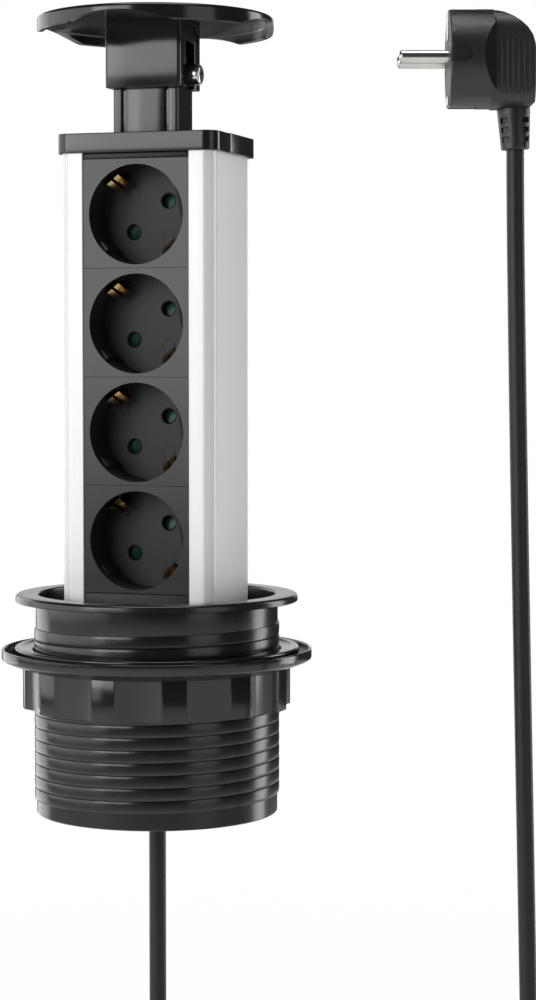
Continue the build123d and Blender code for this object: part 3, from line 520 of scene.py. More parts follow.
class TOWER_OT_cord(bpy.types.Operator):
    """Mains cord on one smooth line: down from the tower, round its tied coil, up to the plug"""

    bl_idname = "tower.cord"
    bl_label = "Cord, coil tie and bend relief"

    def execute(self, context):
        self.cord(context)
        self.relief()
        self.tie()
        return {"FINISHED"}

    def points(self):
        """The line's points: down, half turns that spiral in, one layer across, out again, and up."""
        half_steps = 6
        # A quadratic line runs inside its points by this share at twelve points a turn.
        inside = 0.9662
        points = [at(0, 0, -82), at(0, 0, -206)]
        radii = [COIL_RADIUS - COIL_STEP * n for n in (0, 1, 2, 3, 4, 3, 2, 1, 0)]
        s = 0.0
        w = 0.0
        for n, radius in enumerate(radii):
            low_half = n % 2 == 0
            centre = s + radius if low_half else s - radius
            start = math.pi if low_half else 0.0
            count = half_steps if n < 8 else half_steps // 2
            for k in range(count):
                share = (k + 0.5) / half_steps
                if n == 4:
                    w = -COIL_LAYER * (1 - math.cos(math.pi * share)) / 2
                angle = start + math.pi * share
                reach = radius / inside
                points.append(at(centre + reach * math.cos(angle), w, COIL_Z + reach * math.sin(angle)))
            if n == 4:
                w = -COIL_LAYER
            s = s + 2 * radius if low_half else s - 2 * radius
        low = COIL_Z - COIL_RADIUS
        return points + [
            at(55, w, low), at(75, w, low), at(LEAN_S, PLUG_W, low), at(LEAN_S - 1.8, PLUG_W, low + 78),
            at(CORD_TOP_S, PLUG_W, CORD_TOP_Z - 36), at(CORD_TOP_S, PLUG_W, CORD_TOP_Z + 2),
        ]

    def cord(self, context):
        """One round line through the points."""
        points = self.points()
        data = bpy.data.curves.new("mains_cord", "CURVE")
        data.dimensions = "3D"
        line = data.splines.new("NURBS")
        line.points.add(len(points) - 1)
        for point, place in zip(line.points, points):
            point.co = (*place, 1)
        line.order_u = 3
        line.use_endpoint_u = True
        line.resolution_u = 8
        data.bevel_depth = CORD_RADIUS * MM
        data.bevel_resolution = 5
        data.use_fill_caps = True
        cord = bpy.data.objects.new("mains_cord", data)
        context.scene.collection.objects.link(cord)
        done(cord, "tower", "cord_jacket", ("cord_lower", "cord_coil", "cord_upper"))

    def relief(self):
        """Ribbed sleeve that tapers down from the gland."""
        section = [(0.001, -66), (6.4, -66), (6.3, -67.5)]
        for k in range(15):
            waist = 0.75 if k % 2 else 0
            section.append((6.25 - 0.1725 * (k // 2) - waist, -67.8 - k * 0.98))
        section += [(4.5, -83.4), (4.2, -84), (0.001, -84)]
        relief = turned("bend_relief", section, 48)
        done(relief, "tower", "plug_plastic", ("cord_relief",))

    def tie(self):
        """Flat band round the coil's left side, with a knot outside."""
        width, depth = 22.6, 14.9
        outer = rounded(width + 2.2, depth + 2.2, 3.5, 8)
        inner = rounded(width, depth, 2.4, 8)
        band = cut(prism("tie_band", outer, -4, 4), prism("tool", inner, -5, 5))
        knot = block("knot", (-width / 2 - 2.6, -2.2, -2.6), (-width / 2 - 0.6, 2.2, 2.6))
        cut(band, knot, "UNION")
        softened(band, 0.35, 2)
        laid(band, Matrix.Translation(at(7.5, -3.65, COIL_Z)) @ Matrix.Rotation(TURN, 4, "Z"))
        done(band, "tower", "plug_plastic", ("coil_tie",))


class TOWER_OT_housing(bpy.types.Operator):
    """Flange, collar and threaded tube, with the clamp ring and the nut with its lugs"""

    bl_idname = "tower.housing"
    bl_label = "Housing, clamp ring and nut"

    def execute(self, context):
        self.tube()
        self.ring()
        self.nut()
        return {"FINISHED"}

    def tube(self):
        """The tube with its right-handed thread: a ridge wound on a plain core."""
        core = turned("housing_tube", arc(48.2, 2.2, 0.8, 180, 90, 5) + arc(55.1, 1.6, 1.4, 90, 0, 6) + [
            (56.5, 0.25), (56.25, 0), (49.0, 0), (48.5, -0.5), (48.5, -9.6), (48.35, -10.2), (48.3, -12),
            (48.3, -84.3), (47.9, -84.7), (45.9, -84.7), (45.5, -84.3), (45.5, -47), (40, -47), (40, -44),
            (45.5, -44), (45.5, -4.6), (45.9, -4.2), (47.4, -4.2),
        ], 160)
        web = prism("web", rounded(89, 89, 44.4, 16), -47, -44)
        cut(web, prism("tool", rounded(64.6, 48.5, 4.5), -48, -43))
        pitch, turns, steps = 4.9, 14, 96
        crest, lowest = 49.12, -78.3
        land = [(2.38, 1.0), (2.34, 0.34), (2.24, 0.13), (1.9, 0.05), (1.2, 0.02), (0.4, 0.0)]
        section = [(crest - drop, -z) for z, drop in land] + [(crest - drop, z) for z, drop in reversed(land)]
        ridge = drawn("ridge", [(0, r, z + lowest) for r, z in section])
        bpy.ops.mesh.select_all(action="SELECT")
        bpy.ops.mesh.edge_face_add()
        bpy.ops.object.mode_set(mode="OBJECT")
        wind = ridge.modifiers.new("wind", "SCREW")
        wind.angle = math.tau
        wind.screw_offset = pitch * MM
        wind.iterations = turns
        wind.steps = steps
        wind.render_steps = steps
        wind.use_normal_calculate = True
        bpy.ops.object.modifier_apply(modifier=wind.name)
        bpy.ops.object.mode_set(mode="EDIT")
        outward()
        tube = joined("housing_tube", [core, web, ridge])
        done(tube, "housing", "black_plastic", ("flange_tube",), 30, "thread_plastic")

    def ring(self):
        """The dished ring that presses on the worktop."""
        ring = turned("clamp_ring", [(49.9, -22.1), (56.8, -22.1), (57.0, -21.9)]
                      + arc(56.1, -19.0, 0.9, 0, 90, 6)
                      + [(54.9, -18.1), (54.2, -18.35), (53.6, -18.7), (50.3, -19.0), (49.9, -19.4)], 160)
        done(ring, "pressure_ring", "black_plastic", ("pressure_ring",))

    def nut(self):
        """Cup flange on a grip with twelve lugs between shallow round scallops."""
        cup = turned("nut_cup", [
            (49.2, -26.4), (52.0, -26.4), (53.72, -26.2), (54.6, -25.9), (56.4, -25.3), (59.6, -24.1),
            (61.3, -23.4), (61.9, -23.0), (62.1, -22.5), (62.1, -19.4),
        ] + arc(61.5, -19.5, 0.6, 0, 180, 6) + [(60.9, -22.2), (49.2, -22.2)], 192)
        section = [(49.2, -42.0), (49.5, -42.2), (53.7, -42.2), (53.7, -25.7), (49.2, -25.7)]
        grip = turned("nut_grip", section, 192)
        lugs, first, away, radius = 12, 12.2, 77.3, 26.0
        for k in range(lugs):
            angle = math.radians(first + 360 / lugs * k)
            cut(grip, drum("tool", radius, -43, -26.2, 256, (away * math.cos(angle), away * math.sin(angle))))
        softened(grip, 0.4, 3, 24)
        nut = joined("clamp_nut_grip", [cup, grip])
        done(nut, "clamp_nut", "black_plastic", ("clamp_nut",))


class TOWER_OT_column(bpy.types.Operator):
    """Anodised column with ribbed front corners, and the black blanks above and below the sockets"""

    bl_idname = "tower.column"
    bl_label = "Column and blanks"

    def execute(self, context):
        self.profile()
        self.blanks()
        return {"FINISHED"}

    def profile(self):
        """The extrusion's section, with fine ribs round both front corners."""
        right = [(22.05, -19.6), (22.05, -23.55), (22.25, -23.75), (26.9, -23.75)]
        ribs, middle_x, middle_y, radius = 7, 27.3, 19.25, 4.5
        for k in range(ribs):
            for share, sunk in ((0.12, 0.0), (0.88, 0.0), (1.0, 0.16)):
                angle = math.radians(-90 + 90 * (k + share) / ribs)
                reach = radius - sunk
                right.append((middle_x + reach * math.cos(angle), -middle_y + reach * math.sin(angle)))
        right += [(31.62, -18.9), (31.62, -18.5), (31.8, -18.3), (31.8, middle_y)]
        right += arc(middle_x, middle_y, radius, 0, 90, 6)[1:]
        left = [(-x, y) for x, y in reversed(right)]
        inside = [(-22.05, -19.6), (-30.2, -19.6), (-30.2, 22.15), (30.2, 22.15), (30.2, -19.6)]
        outline = right + left + inside[1:]
        column = prism("column", outline, COLUMN_LOW, COLUMN_TOP)
        for x, y in BOSSES:
            boss = drum("boss", 3.0, COLUMN_LOW, COLUMN_TOP, 32, (x, y))
            wall = x * 1.13
            fin = block("fin", (min(x, wall), y - 2, COLUMN_LOW), (max(x, wall), y + 2, COLUMN_TOP))
            column = joined("column", [column, boss, fin])
        done(column, "tower", "aluminium", ("tower_profile",), 25)

    def blanks(self):
        """Blank strips with a shadow edge all round."""
        for name, low, high, node in (
            ("blank_top", 174.55, COLUMN_TOP - 0.1, "panel_top_strip"),
            ("blank_bottom", COLUMN_LOW + 0.2, 4.45, "panel_bottom_strip"),
        ):
            face = softened(block(name, (-21.95, -23.0, low), (21.95, -19.3, high)), 0.3, 3)
            back = block("back", (-29.8, -19.4, low + 0.05), (29.8, -17.5, high - 0.05))
            blank = joined(name, [face, back])
            done(blank, "tower", "black_plastic", (node,), paint="blank_plastic")


class TOWER_OT_sockets(bpy.types.Operator):
    """Four socket modules with their wells, earth arms and shutters"""

    bl_idname = "tower.sockets"
    bl_label = "Socket modules"

    def execute(self, context):
        well = self.module()
        clip = self.clip()
        shutter = self.shutter()
        for n, z in enumerate(WELL_Z, 1):
            outlet = copied(well, "outlet_%d" % n, (0, 0, z))
            done(outlet, "tower", "black_plastic", ("socket_%d" % n,), 30, "socket_plastic")
            arms = copied(clip, "earth_arms_%d" % n, (0, 0, z))
            done(arms, "tower", "brass", ("earth_clip_%d" % n,), 30)
            disc = copied(shutter, "shutter_disc_%d" % n, (0, 0, z))
            group = "shutter_group_%d" % n
            done(disc, group, "shutter_green", ("shutter_%d" % n,))
        for piece in (well, clip, shutter):
            bpy.data.objects.remove(piece, do_unlink=True)
        return {"FINISHED"}

    def module(self):
        """Made lying on its back, +Z to the front: plate, shoulders, cup, posts, then the hollows."""
        body = prism("module", rounded(43.9, 42.35, 0.5, 3, (0, 0.4)), 19.4, 23.0)
        cut(body, block("tool", (-29.8, -20.75, 17.5), (29.8, 21.55, 19.45)), "UNION")
        cut(body, drum("tool", 20.75, 3.0, 18.0, 128), "UNION")
        for x in (-19.6, 19.6):
            for y in (-17.4, 17.4):
                cut(body, drum("tool", 2.4, -2.2, 18.0, 24, (x, y)), "UNION")
        cut(body, drum("tool", 19.5, 5.5, 25.0, 128))
        for turn in (0, math.pi):
            rib = block("tool", (18.5, -2.0, 5.4), (19.8, 2.0, 20.0))
            cut(body, laid(rib, Matrix.Rotation(PIN_ANGLE + turn, 4, "Z")), "UNION")
            slot = block("tool", (17.9, -3.3, 2.5), (22.2, 3.3, 19.3))
            cut(body, laid(slot, Matrix.Rotation(PIN_ANGLE + math.pi / 2 + turn, 4, "Z")))
            spot = (PIN_RADIUS * math.cos(PIN_ANGLE + turn), PIN_RADIUS * math.sin(PIN_ANGLE + turn))
            cut(body, drum("tool", 2.75, 2.0, 7.0, 40, spot))
            lead = turned("tool", [(0.001, 5.0), (2.75, 5.0), (3.35, 5.6), (0.001, 5.6)], 40)
            cut(body, laid(lead, Matrix.Translation((spot[0] * MM, spot[1] * MM, 0))))
        softened(body, 0.22, 2, 45)
        for turn in (math.pi / 2, -math.pi / 2):
            spot = (11.4 * math.cos(PIN_ANGLE + turn), 11.4 * math.sin(PIN_ANGLE + turn))
            groove = turned("tool", [(2.5, 5.3), (2.75, 5.3), (2.75, 5.7), (2.5, 5.7)], 48)
            cut(body, laid(groove, Matrix.Translation((spot[0] * MM, spot[1] * MM, 0))))
        return laid(body, facing_front())

    def clip(self):
        """One bent strip: cross bar behind the floor, arms that bow into the well, a raised nose on each."""
        outside = [(0, 0.2), (20.4, 0.2), (20.4, -5.0), (17.4, -8.4), (16.0, -10.2)]
        outside += arc(15.9, -11.4, 0.75, 130, 200, 4)
        lead = [(17.0, -14.2), (18.9, -17.0), (18.3, -17.5), (16.0, -14.6)]
        inside = arc(15.9, -11.4, 1.6, 215, 125, 6) + [(16.6, -7.9), (19.6, -4.6), (19.6, -0.6), (0, -0.6)]
        side = outside + lead + inside
        outline = side + [(-x, y) for x, y in reversed(side)][1:-1]
        strip = softened(prism("strip", outline, -3.0, 3.0), 0.12, 2, 50)
        for turn in (0, math.pi):
            tool = block("tool", (13.0, -22, -0.6), (21.5, -7.0, 0.6))
            cut(strip, laid(tool, Matrix.Rotation(turn, 4, "Y")))
        tail = block("tail", (-1.2, 0.1, -1.5), (1.2, 12.0, 1.5))
        strip = joined("strip", [strip, tail])
        return laid(strip, Matrix.Rotation(-(PIN_ANGLE + math.pi / 2), 4, "Y"))

    def shutter(self):
        """Two wings on a hub, each with a slanted ramp behind its hole."""
        disc = drum("disc", 3.6, 1.95, 2.9, 40)
        for turn in (0, math.pi):
            spot = (PIN_RADIUS * math.cos(PIN_ANGLE + turn), PIN_RADIUS * math.sin(PIN_ANGLE + turn))
            cut(disc, drum("tool", 3.9, 1.95, 2.9, 40, spot), "UNION")
            arm = block("tool", (0.5, -2.2, 1.95), (8.5, 2.2, 2.9))
            cut(disc, laid(arm, Matrix.Rotation(PIN_ANGLE + turn, 4, "Z")), "UNION")
        for turn in (0, math.pi):
            slant = block("tool", (-4.5, -4.5, 0), (4.5, 4.5, 2))
            laid(slant, Matrix.Rotation(math.radians(-13), 4, "X"))
            hole = Matrix.Translation(Vector((PIN_RADIUS, 0, 2.45)) * MM)
            cut(disc, laid(slant, Matrix.Rotation(PIN_ANGLE + turn, 4, "Z") @ hole))
        cut(disc, drum("tool", 1.55, 1.0, 4.0, 32))
        softened(disc, 0.18, 2, 45)
        return laid(disc, facing_front())


class TOWER_OT_top(bpy.types.Operator):
    """Cap, grooved neck, sliding lid block with its guide screw, and the lid"""

    bl_idname = "tower.top"
    bl_label = "Cap, neck and lid"

    def execute(self, context):
        self.cap()
        self.screws()
        self.neck()
        self.block()
        self.screw()
        self.lid()
        return {"FINISHED"}

    def cap(self):
        """Plan with round front corners, a vertical groove in each side and a rear lobe that stands out."""
        right = arc(27.5, -19.0, 6.0, -90, 0, 10) + [
            (33.5, -9.6), (33.0, -9.2), (33.0, -8.4), (33.9, -7.9), (34.2, -7.0), (34.2, 14.0),
        ] + arc(29.2, 20.0, 5.0, 0, 90, 6)
        outline = right + [(-x, y) for x, y in reversed(right)]
        cap = softened(prism("cap", outline, COLUMN_TOP, CAP_TOP), 0.45, 3, 50)
        cut(cap, prism("tool", rounded(27.0, 18.3, 1.2, 4, (0, NECK_Y)), 184.0, 186.0))
        for spot in SCREW_SPOTS:
            cut(cap, drum("tool", 2.5, 182.6, 186.0, 32, spot))
        plug = softened(block("spigot", (-22, 10.7, 171.9), (22, 20.9, 177.0)), 0.4, 2)
        done(joined("cap", [cap, plug]), "tower", "black_plastic", ("top_cap",))

    def screws(self):
        """The cap's four screws and the foot's four, each turned as it was left."""
        made = []
        for k, spot in enumerate(SCREW_SPOTS):
            above = Matrix.Translation(Vector((*spot, 182.62)) * MM) @ Matrix.Rotation(0.4 * k, 4, "Z")
            made.append(laid(screw_head(2.4, 1.7), above))
            below = Matrix.Translation(Vector((*spot, -60.02)) * MM) @ Matrix.Rotation(math.pi, 4, "X")
            made.append(laid(screw_head(2.4, 1.7), below @ Matrix.Rotation(0.3 * k, 4, "Z")))
            made.append(drum("shank", 1.18, 168.6, 182.7, 16, spot))
            made.append(drum("shank", 1.18, -60.1, -46.0, 16, spot))
        screws = joined("cap_and_foot_screws", made)
        done(screws, "tower", "screw_steel", ("profile_screws",))

    def neck(self):
        """Neck with a raised middle panel front and back, between two grooves."""
        outline = rounded(27.0, 18.3, 1.0, 5, (0, NECK_Y))
        neck = prism("neck_post", outline, 177.0, NECK_TOP)
        for x in (-8.95, 8.95):
            for y in (NECK_Y - 9.15, NECK_Y + 9.15):
                cut(neck, block("tool", (x - 0.7, y - 1.0, 176), (x + 0.7, y + 1.0, 217)))
        softened(neck, 0.28, 2, 50)
        cut(neck, block("tool", (-10.9, NECK_Y - 6.55, 190), (10.9, NECK_Y + 6.55, 217)))
        foot = softened(block("flange", (-15.5, NECK_Y - 13.4, 174.7), (15.5, NECK_Y + 13.4, 177.0)), 0.3, 2)
        done(joined("neck_post", [neck, foot]), "tower", "black_plastic", ("neck",))

    def block(self):
        """Sleeve over the neck, with the slot for the guide bush in its right side."""
        sleeve = prism("lid_sleeve", rounded(31.3, 24.9, 1.3, 5, (0, NECK_Y)), BLOCK_LOW, 228.95)
        cut(sleeve, prism("tool", rounded(27.1, 18.4, 1.2, 4, (0, NECK_Y)), 202.0, 226.5))
        cut(sleeve, block("tool", (12.6, NECK_Y - 5.25, 201.0), (17.0, NECK_Y + 5.25, 221.1)))
        softened(sleeve, 0.3, 2, 50)
        done(sleeve, "lid_group", "black_plastic", ("lid_block",))

    def screw(self):
        """Domed bright head with a hexagon recess and a washer, on its black bush."""
        head = turned("guide_bolt", [(0.001, 0), (4.1, 0), (4.1, 0.9)] + arc(2.7, 0.9, 1.4, 0, 90, 8)
                      + [(0.001, 2.35)], 64)
        cut(head, drum("tool", 1.75, 0.9, 4.0, 6))
        shank = drum("shank", 1.98, -7.0, 0.1, 32)
        head = joined("guide_bolt", [head, shank])
        laid(head, facing_right((18.0, NECK_Y, GUIDE_Z)))
        done(head, "tower", "bright_metal", ("guide_screw",))
        bush = turned("guide_sleeve", [(2.02, 0), (4.25, 0), (4.25, 4.1)] + arc(3.85, 4.1, 0.4, 0, 90, 4)
                      + [(2.02, 4.5)], 64)
        laid(bush, facing_right((13.5, NECK_Y, GUIDE_Z)))
        done(bush, "tower", "black_plastic", ("guide_bush",), paint="socket_plastic")

    def lid(self):
        """Flat lid with a deep hollow rim and a finger scoop at each quarter."""
        section = [(0.001, LID_TOP), (45.5, LID_TOP)] + arc(45.5, LID_TOP - 1.4, 1.4, 90, 0, 8) + [
            (46.9, 225.4), (46.5, 224.9), (44.9, LID_LOW), (44.4, 225.2), (44.3, 228.5), (43.9, 228.9),
            (0.001, 228.9),
        ]
        lid = turned("lid_disc", section, 192)
        half, rise = 22.0, 4.1
        radius = (half ** 2 + rise ** 2) / (2 * rise)
        for quarter in range(4):
            turn = Matrix.Rotation(math.pi / 2 * quarter, 4, "Z") @ Matrix.Rotation(math.pi / 2, 4, "X")
            middle = Matrix.Translation(Vector((0, 0, LID_LOW + rise - radius)) * MM)
            cut(lid, laid(drum("tool", radius, 29, 48, 160), middle @ turn))
        softened(lid, 0.25, 2, 45)
        done(lid, "lid_group", "black_plastic", ("lid",))


class TOWER_OT_plug(bpy.types.Operator):
    """Angled plug: round front, raised rear housing, two pins, earth contacts, slotted relief"""

    bl_idname = "tower.plug"
    bl_label = "Plug"

    def execute(self, context):
        made = [self.body(), self.front(), self.pins(), self.earth(), self.relief()]
        tie = bpy.data.objects["tie_band"]
        tuple(at(0, 0, -84))
        [tie] + made
        return {"FINISHED"}

    def along(self):
        """The place that lays +Z along the plug's axis, away from its pins, with +Y away from the viewer."""
        right = at(1000, 0, 0)
        up = Vector((0, 0, 1))
        back = up.cross(right)
        turn = Matrix((-up, back, right)).transposed().to_4x4()
        return Matrix.Translation(at(FACE_S, PLUG_W, PLUG_Z)) @ turn

    def body(self):
        """Drum front and a rear housing; local X points down, local Z along the plug."""
        shell = turned("plug_shell", [(0.001, 2.4), (18.75, 2.4), (18.75, 16.6)]
                       + arc(18.15, 16.6, 0.6, 0, 90, 3) + [(0.001, 17.2)], 128)
        for side in (1, -1):
            corners = [(12.6, 18.75), (17.2, 13.6), (19, 13.6), (19, 20), (12.6, 20)]
            flat = prism("tool", [(z, side * y) for z, y in corners], -20, 20)
            cut(shell, laid(flat, Matrix(((0, 0, -1, 0), (0, 1, 0, 0), (1, 0, 0, 0), (0, 0, 0, 1)))))
        side = [
            (16.2, 18.0), (17.2, 17.9), (20.5, 16.8), (23.8, 15.1), (26.6, 13.1), (29.0, 10.7), (30.9, 7.8),
            (31.9, 4.6), (32.1, 3.0), (32.1, -17.0), (30.4, -18.7), (16.2, -18.7),
        ]
        rear = prism("rear", side, -13.6, 13.6)
        laid(rear, Matrix(((0, -1, 0, 0), (0, 0, 1, 0), (1, 0, 0, 0), (0, 0, 0, 1))))
        cut(rear, prism("tool", rounded(36.6, 27.2, 9.0, 10, (0.4, 0)), 12, 33), "INTERSECT")
        softened(rear, 0.7, 3, 50)
        shell = cut(shell, rear, "UNION")
        for turn in (0, math.pi):
            groove = prism("tool", [(-2.6, 1.0), (2.6, 1.0)] + arc(0, 5.6, 2.6, 0, 180, 10), -20, -17.4)
            cut(shell, laid(groove, Matrix.Rotation(turn, 4, "Z") @ Matrix.Rotation(math.pi / 2, 4, "X")))
            channel = block("tool", (16.35, -4.1, 1.0), (20, 4.1, 10.6))
            cut(shell, laid(channel, Matrix.Rotation(turn, 4, "Z")))
        softened(shell, 0.25, 2, 45)
        ribs = [shell]
        for k in range(6):
            z = 19.0 + 2.1 * k
            ribs.append(softened(block("rib", (-6.6, -13.95, z), (14.2, 13.95, z + 0.9)), 0.3, 2))
        shell = joined("plug_shell", ribs)
        laid(shell, self.along())
        return done(shell, "tower", "plug_plastic", ("plug_body",))

    def front(self):
        """Front disc with sunk rings round the pins and a notch at each side."""
        disc = turned("plug_front", [(0.001, 0), (18.3, 0), (18.75, 0.4), (18.75, 2.4), (0.001, 2.4)], 128)
        for y in (-9.5, 9.5):
            cut(disc, drum("tool", 1.92, -1, 3, 40, (0, y)))
            ring = turned("tool", [(3.4, -0.5), (3.9, -0.5), (3.9, 0.35), (3.4, 0.35)], 40)
            cut(disc, laid(ring, Matrix.Translation((0, y * MM, 0))))
        for turn in (0, math.pi):
            notch = block("tool", (-2.6, 17.4, -1.0), (2.6, 20.0, 3.0))
            cut(disc, laid(notch, Matrix.Rotation(turn, 4, "Z")))
            channel = block("tool", (16.35, -4.1, -1.0), (20, 4.1, 3.0))
            cut(disc, laid(channel, Matrix.Rotation(turn, 4, "Z")))
        softened(disc, 0.15, 2, 45)
        laid(disc, self.along())
        return done(disc, "tower", "plug_plastic", ("plug_face",))

    def pins(self):
        """Two pins with rounded tips and thinner roots in the moulding."""
        section = [(0.001, -19.0)] + arc(1.1, -17.7, 1.3, -90, 0, 8) + [
            (2.4, -0.4), (2.3, -0.3), (1.9, -0.3), (1.9, 10.4), (0.001, 10.4),
        ]
        first = turned("pin", section, 48)
        second = copied(first, "pin_second", (0, 9.5, 0))
        laid(first, Matrix.Translation((0, -9.5 * MM, 0)))
        pins = laid(joined("plug_pin_pair", [first, second]), self.along())
        return done(pins, "tower", "bright_metal", ("plug_pins",))

    def earth(self):
        """Inset strips at top and bottom of the drum, each bent in over the face."""
        strips = []
        for turn, reach in ((0, 14.0), (math.pi, 7.0)):
            side = [
                (reach, -0.45), (17.6, -0.45), (18.1, 0.0), (18.1, 10.3), (17.2, 10.4), (16.4, 10.4),
                (16.4, 0.02), (reach, 0.02),
            ]
            strip = softened(prism("strip", side, -3.9, 3.9), 0.15, 2, 45)
            laid(strip, Matrix.Rotation(turn, 4, "Z") @ Matrix.Rotation(math.pi / 2, 4, "X"))
            strips.append(strip)
        pair = laid(joined("plug_earth_tongues", strips), self.along())
        return done(pair, "tower", "bright_metal", ("plug_earth_contacts",))

    def relief(self):
        """Tapered relief that leans a little, with three short pockets at each quarter."""
        section = [(0.001, CORD_TOP_Z), (5.0, CORD_TOP_Z), (5.4, 176.4), (6.3, 191.4), (0.001, 191.4)]
        body = turned("plug_relief", section, 64)
        for z in (178.6, 182.2, 185.8):
            for quarter in range(4):
                pocket = block("tool", (4.5, -1.9, z), (8.0, 1.9, z + 2.0))
                cut(body, laid(pocket, Matrix.Rotation(math.pi / 4 + math.pi / 2 * quarter, 4, "Z")))
        softened(body, 0.25, 2, 45)
        lean = Matrix.Rotation(-0.05, 4, "Y") @ Matrix.Translation((0, 0, -CORD_TOP_Z * MM))
        foot = Matrix.Translation(at(CORD_TOP_S, PLUG_W, CORD_TOP_Z))
        laid(body, foot @ Matrix.Rotation(TURN, 4, "Z") @ lean)
        return done(body, "tower", "plug_plastic", ("plug_strain_relief",))


class TOWER_OT_hidden(bpy.types.Operator):
    """Give every CAD piece that still shows its finish"""

    bl_idname = "tower.hidden"
    bl_label = "Inner pieces"

    def execute(self, context):
        slots = {entry["node"]: entry["material_slot"] for entry in frame["record"]["subparts"]}
        for name, obj in frame["nodes"].items():
            obj.data.materials.clear()
            obj.data.materials.append(PAINTS[slots[name]])
        return {"FINISHED"}


class TOWER_OT_stage(bpy.types.Operator):
    """Pale floor, soft studio lights and the camera at the photograph's angle"""

    bl_idname = "tower.stage"
    bl_label = "Stage, lights and camera"

    def execute(self, context):
        sizes = context.scene.tower_sizes
        clear()
        bpy.ops.mesh.primitive_circle_add(
            vertices=128, radius=FLOOR_RADIUS, fill_type="NGON", location=(0, 0, FLOOR_LEVEL),
        )
        floor = bpy.context.active_object
        floor.name = "studio_floor"
        bpy.ops.object.transform_apply(location=True, rotation=True, scale=True)
        floor.data.materials.append(self.floor_paint())
        self.world(context, sizes)
        self.lamps(sizes)
        self.camera(context)
        context.scene.view_settings.view_transform = "Standard"
        return {"FINISHED"}

    def lamps(self, sizes):
        """Soft boxes round the tower: turn and rise in degrees, width and height in metres."""
        aim = at(0, 0, LAMP_AIM)
        for name, turn, rise, width, height, power in (
            ("key_left", -40, 12, 0.98, 0.8, sizes.key_light),
            ("side_left", -82, 6, 2.3, 1.0, sizes.side_light),
            ("fill_right", 46, 6, 0.75, 1.0, sizes.fill_light),
            ("strip_right", 115, 4, 0.5, 1.2, sizes.strip_light),
            ("rim_left", -140, 4, 1.0, 1.2, sizes.rim_light),
        ):
            angle = math.radians(turn)
            level = LAMP_AIM + LAMP_AWAY * math.tan(math.radians(rise))
            place = at(LAMP_AWAY * math.sin(angle), -LAMP_AWAY * math.cos(angle), level)
            self.lamp(name, place, aim, width, height, power)
        self.lamp("top_soft", at(0, -100, LAMP_AWAY), aim, 1.0, 1.0, sizes.top_light)

    def camera(self, context):
        """The camera that was fitted to the photograph."""
        data = bpy.data.cameras.new("camera")
        camera = bpy.data.objects.new("camera", data)
        context.scene.collection.objects.link(camera)
        camera.location = CAMERA_PLACE
        camera.rotation_euler = (math.pi / 2 - CAMERA_DIP, 0, TURN)
        data.lens = 90.0
        data.sensor_width = 36.0
        data.clip_end = 50.0
        context.scene.camera = camera

    def floor_paint(self):
        """Pale floor that keeps the shadow and fades to plain white at its edge."""
        paint = Paint("studio_floor")
        place = paint.place()
        away = paint.node("ShaderNodeVectorMath", {"operation": "LENGTH"}, {0: place}, output="Value")
        fade = paint.ramp(away, 0.45, FLOOR_RADIUS * 0.95, 0.93, 1.0)
        seen = paint.node("ShaderNodeLightPath", output="Is Camera Ray")
        glossy = paint.node("ShaderNodeLightPath", output="Is Glossy Ray")
        through = paint.node("ShaderNodeLightPath", output="Is Transmission Ray")
        white = paint.node("ShaderNodeEmission", None, {"Color": (1, 1, 1, 1), "Strength": 1.0})
        paint.set(Base_Color=(0.80, 0.80, 0.80, 1), Roughness=0.9)
        share = (seen + glossy * 0.4 + through) * fade
        mix = paint.tree.nodes.new("ShaderNodeMixShader")
        paint.tree.links.new(share.socket, mix.inputs[0])
        paint.tree.links.new(paint.shader.outputs[0], mix.inputs[1])
        paint.tree.links.new(white.socket, mix.inputs[2])
        paint.tree.links.new(mix.outputs[0], paint.output.inputs["Surface"])
        return paint.material

    def world(self, context, sizes):
        """White to the eye; a dim surround in reflections with a bright sheet behind the tower."""
        world = bpy.data.worlds.new("studio")
        context.scene.world = world
        world.use_nodes = True
        tree = world.node_tree
        tree.nodes.clear()
        sky = Nodes(tree)
        direction = sky.node("ShaderNodeTexCoord", output="Generated")
        behind = sky.node(
            "ShaderNodeVectorMath", {"operation": "DOT_PRODUCT"}, {0: direction, 1: BEHIND}, output="Value",
        )
        sheet = sky.ramp(behind, 0.90, 0.985)
        height = sky.node("ShaderNodeSeparateXYZ", None, {"Vector": direction}, output="Z")
        above = sky.ramp(height, -0.10, 0.02)
        seen = sky.node("ShaderNodeLightPath", output="Is Camera Ray")
        glossy = sky.node("ShaderNodeLightPath", output="Is Glossy Ray")
        through = sky.node("ShaderNodeLightPath", output="Is Transmission Ray")
        even = sizes.world_light
        dim = sizes.gloss_light
        surround = sheet * above * (0.9 - dim) + dim
        strength = (seen + through) * (1.0 - even) + glossy * (surround - even) + even
        light = tree.nodes.new("ShaderNodeBackground")
        light.inputs["Color"].default_value = (1, 1, 1, 1)
        out = tree.nodes.new("ShaderNodeOutputWorld")
        tree.links.new(strength.socket, light.inputs["Strength"])
        tree.links.new(light.outputs[0], out.inputs["Surface"])

    def lamp(self, name, place, target, width, height, power):
        """One soft box that looks at the target."""
        data = bpy.data.lights.new(name, "AREA")
        data.shape = "RECTANGLE"
        data.size = width
        data.size_y = height
        data.energy = power
        lamp = bpy.data.objects.new(name, data)
        bpy.context.scene.collection.objects.link(lamp)
        lamp.location = place
        lamp.rotation_euler = (target - place).to_track_quat("-Z", "Y").to_euler()
        lamp.visible_camera = False


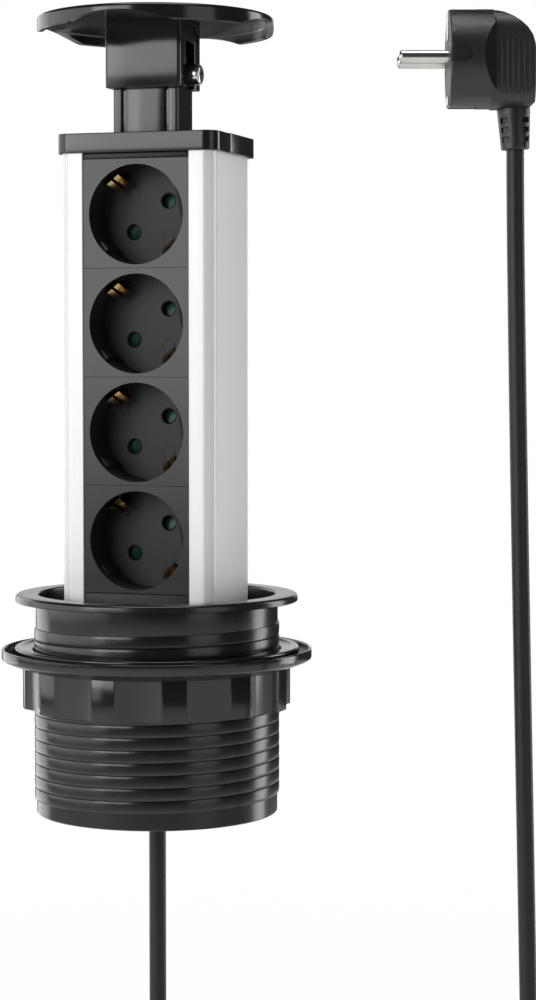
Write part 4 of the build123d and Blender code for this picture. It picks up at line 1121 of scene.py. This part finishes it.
class TowerSizes(bpy.types.PropertyGroup):
    """The black plastic's colour and the strength of each light"""

    plastic: bpy.props.FloatVectorProperty(
        name="Black plastic", description="Colour of the glossy moulded pieces", subtype="COLOR", size=3,
        default=(0.0095, 0.0095, 0.0105), min=0, max=1,
    )
    world_light: bpy.props.FloatProperty(
        name="World light", description="Strength of the even light from all round",
        default=0.36, min=0, max=2,
    )
    gloss_light: bpy.props.FloatProperty(
        name="Surround in gloss", description="Strength of the surround in reflections",
        default=0.04, min=0, max=2,
    )
    key_light: bpy.props.FloatProperty(
        name="Key light", description="Power of the soft box left of the camera",
        default=8.0, min=0, unit="POWER",
    )
    side_light: bpy.props.FloatProperty(
        name="Side light", description="Power of the soft box at the left",
        default=10.8, min=0, unit="POWER",
    )
    fill_light: bpy.props.FloatProperty(
        name="Fill light", description="Power of the soft box at the right",
        default=1.9, min=0, unit="POWER",
    )
    strip_light: bpy.props.FloatProperty(
        name="Strip light", description="Power of the narrow box behind at the right",
        default=6.5, min=0, unit="POWER",
    )
    rim_light: bpy.props.FloatProperty(
        name="Rim light", description="Power of the narrow box behind at the left",
        default=6.0, min=0, unit="POWER",
    )
    top_light: bpy.props.FloatProperty(
        name="Top light", description="Power of the soft box overhead",
        default=9.0, min=0, unit="POWER",
    )


class TOWER_PT_panel(bpy.types.Panel):
    """Lists the tower's steps"""

    bl_idname = "TOWER_PT_panel"
    bl_label = "Socket tower"
    bl_space_type = "VIEW_3D"
    bl_region_type = "UI"
    bl_category = "Socket tower"

    def draw(self, context):
        sizes = context.scene.tower_sizes
        for name in TowerSizes.__annotations__:
            self.layout.prop(sizes, name)
        for step in STEPS:
            self.layout.operator(step.bl_idname)


STEPS = (
    TOWER_OT_stage, TOWER_OT_cord, TOWER_OT_housing, TOWER_OT_column, TOWER_OT_sockets, TOWER_OT_top,
    TOWER_OT_plug, TOWER_OT_hidden,
)
CLASSES = (TowerSizes, TOWER_PT_panel) + STEPS


def register():
    for item in CLASSES:
        bpy.utils.register_class(item)
    bpy.types.Scene.tower_sizes = bpy.props.PointerProperty(type=TowerSizes)


def unregister():
    del bpy.types.Scene.tower_sizes
    for item in reversed(CLASSES):
        bpy.utils.unregister_class(item)


def main():
    register()
    make_paints(bpy.context.scene.tower_sizes)
    bpy.ops.tower.stage()
    bpy.ops.tower.cord()
    bpy.ops.tower.housing()
    bpy.ops.tower.column()
    bpy.ops.tower.sockets()
    bpy.ops.tower.top()
    bpy.ops.tower.plug()
    bpy.ops.tower.hidden()
    clear()


if __name__ == "__main__":
    main()
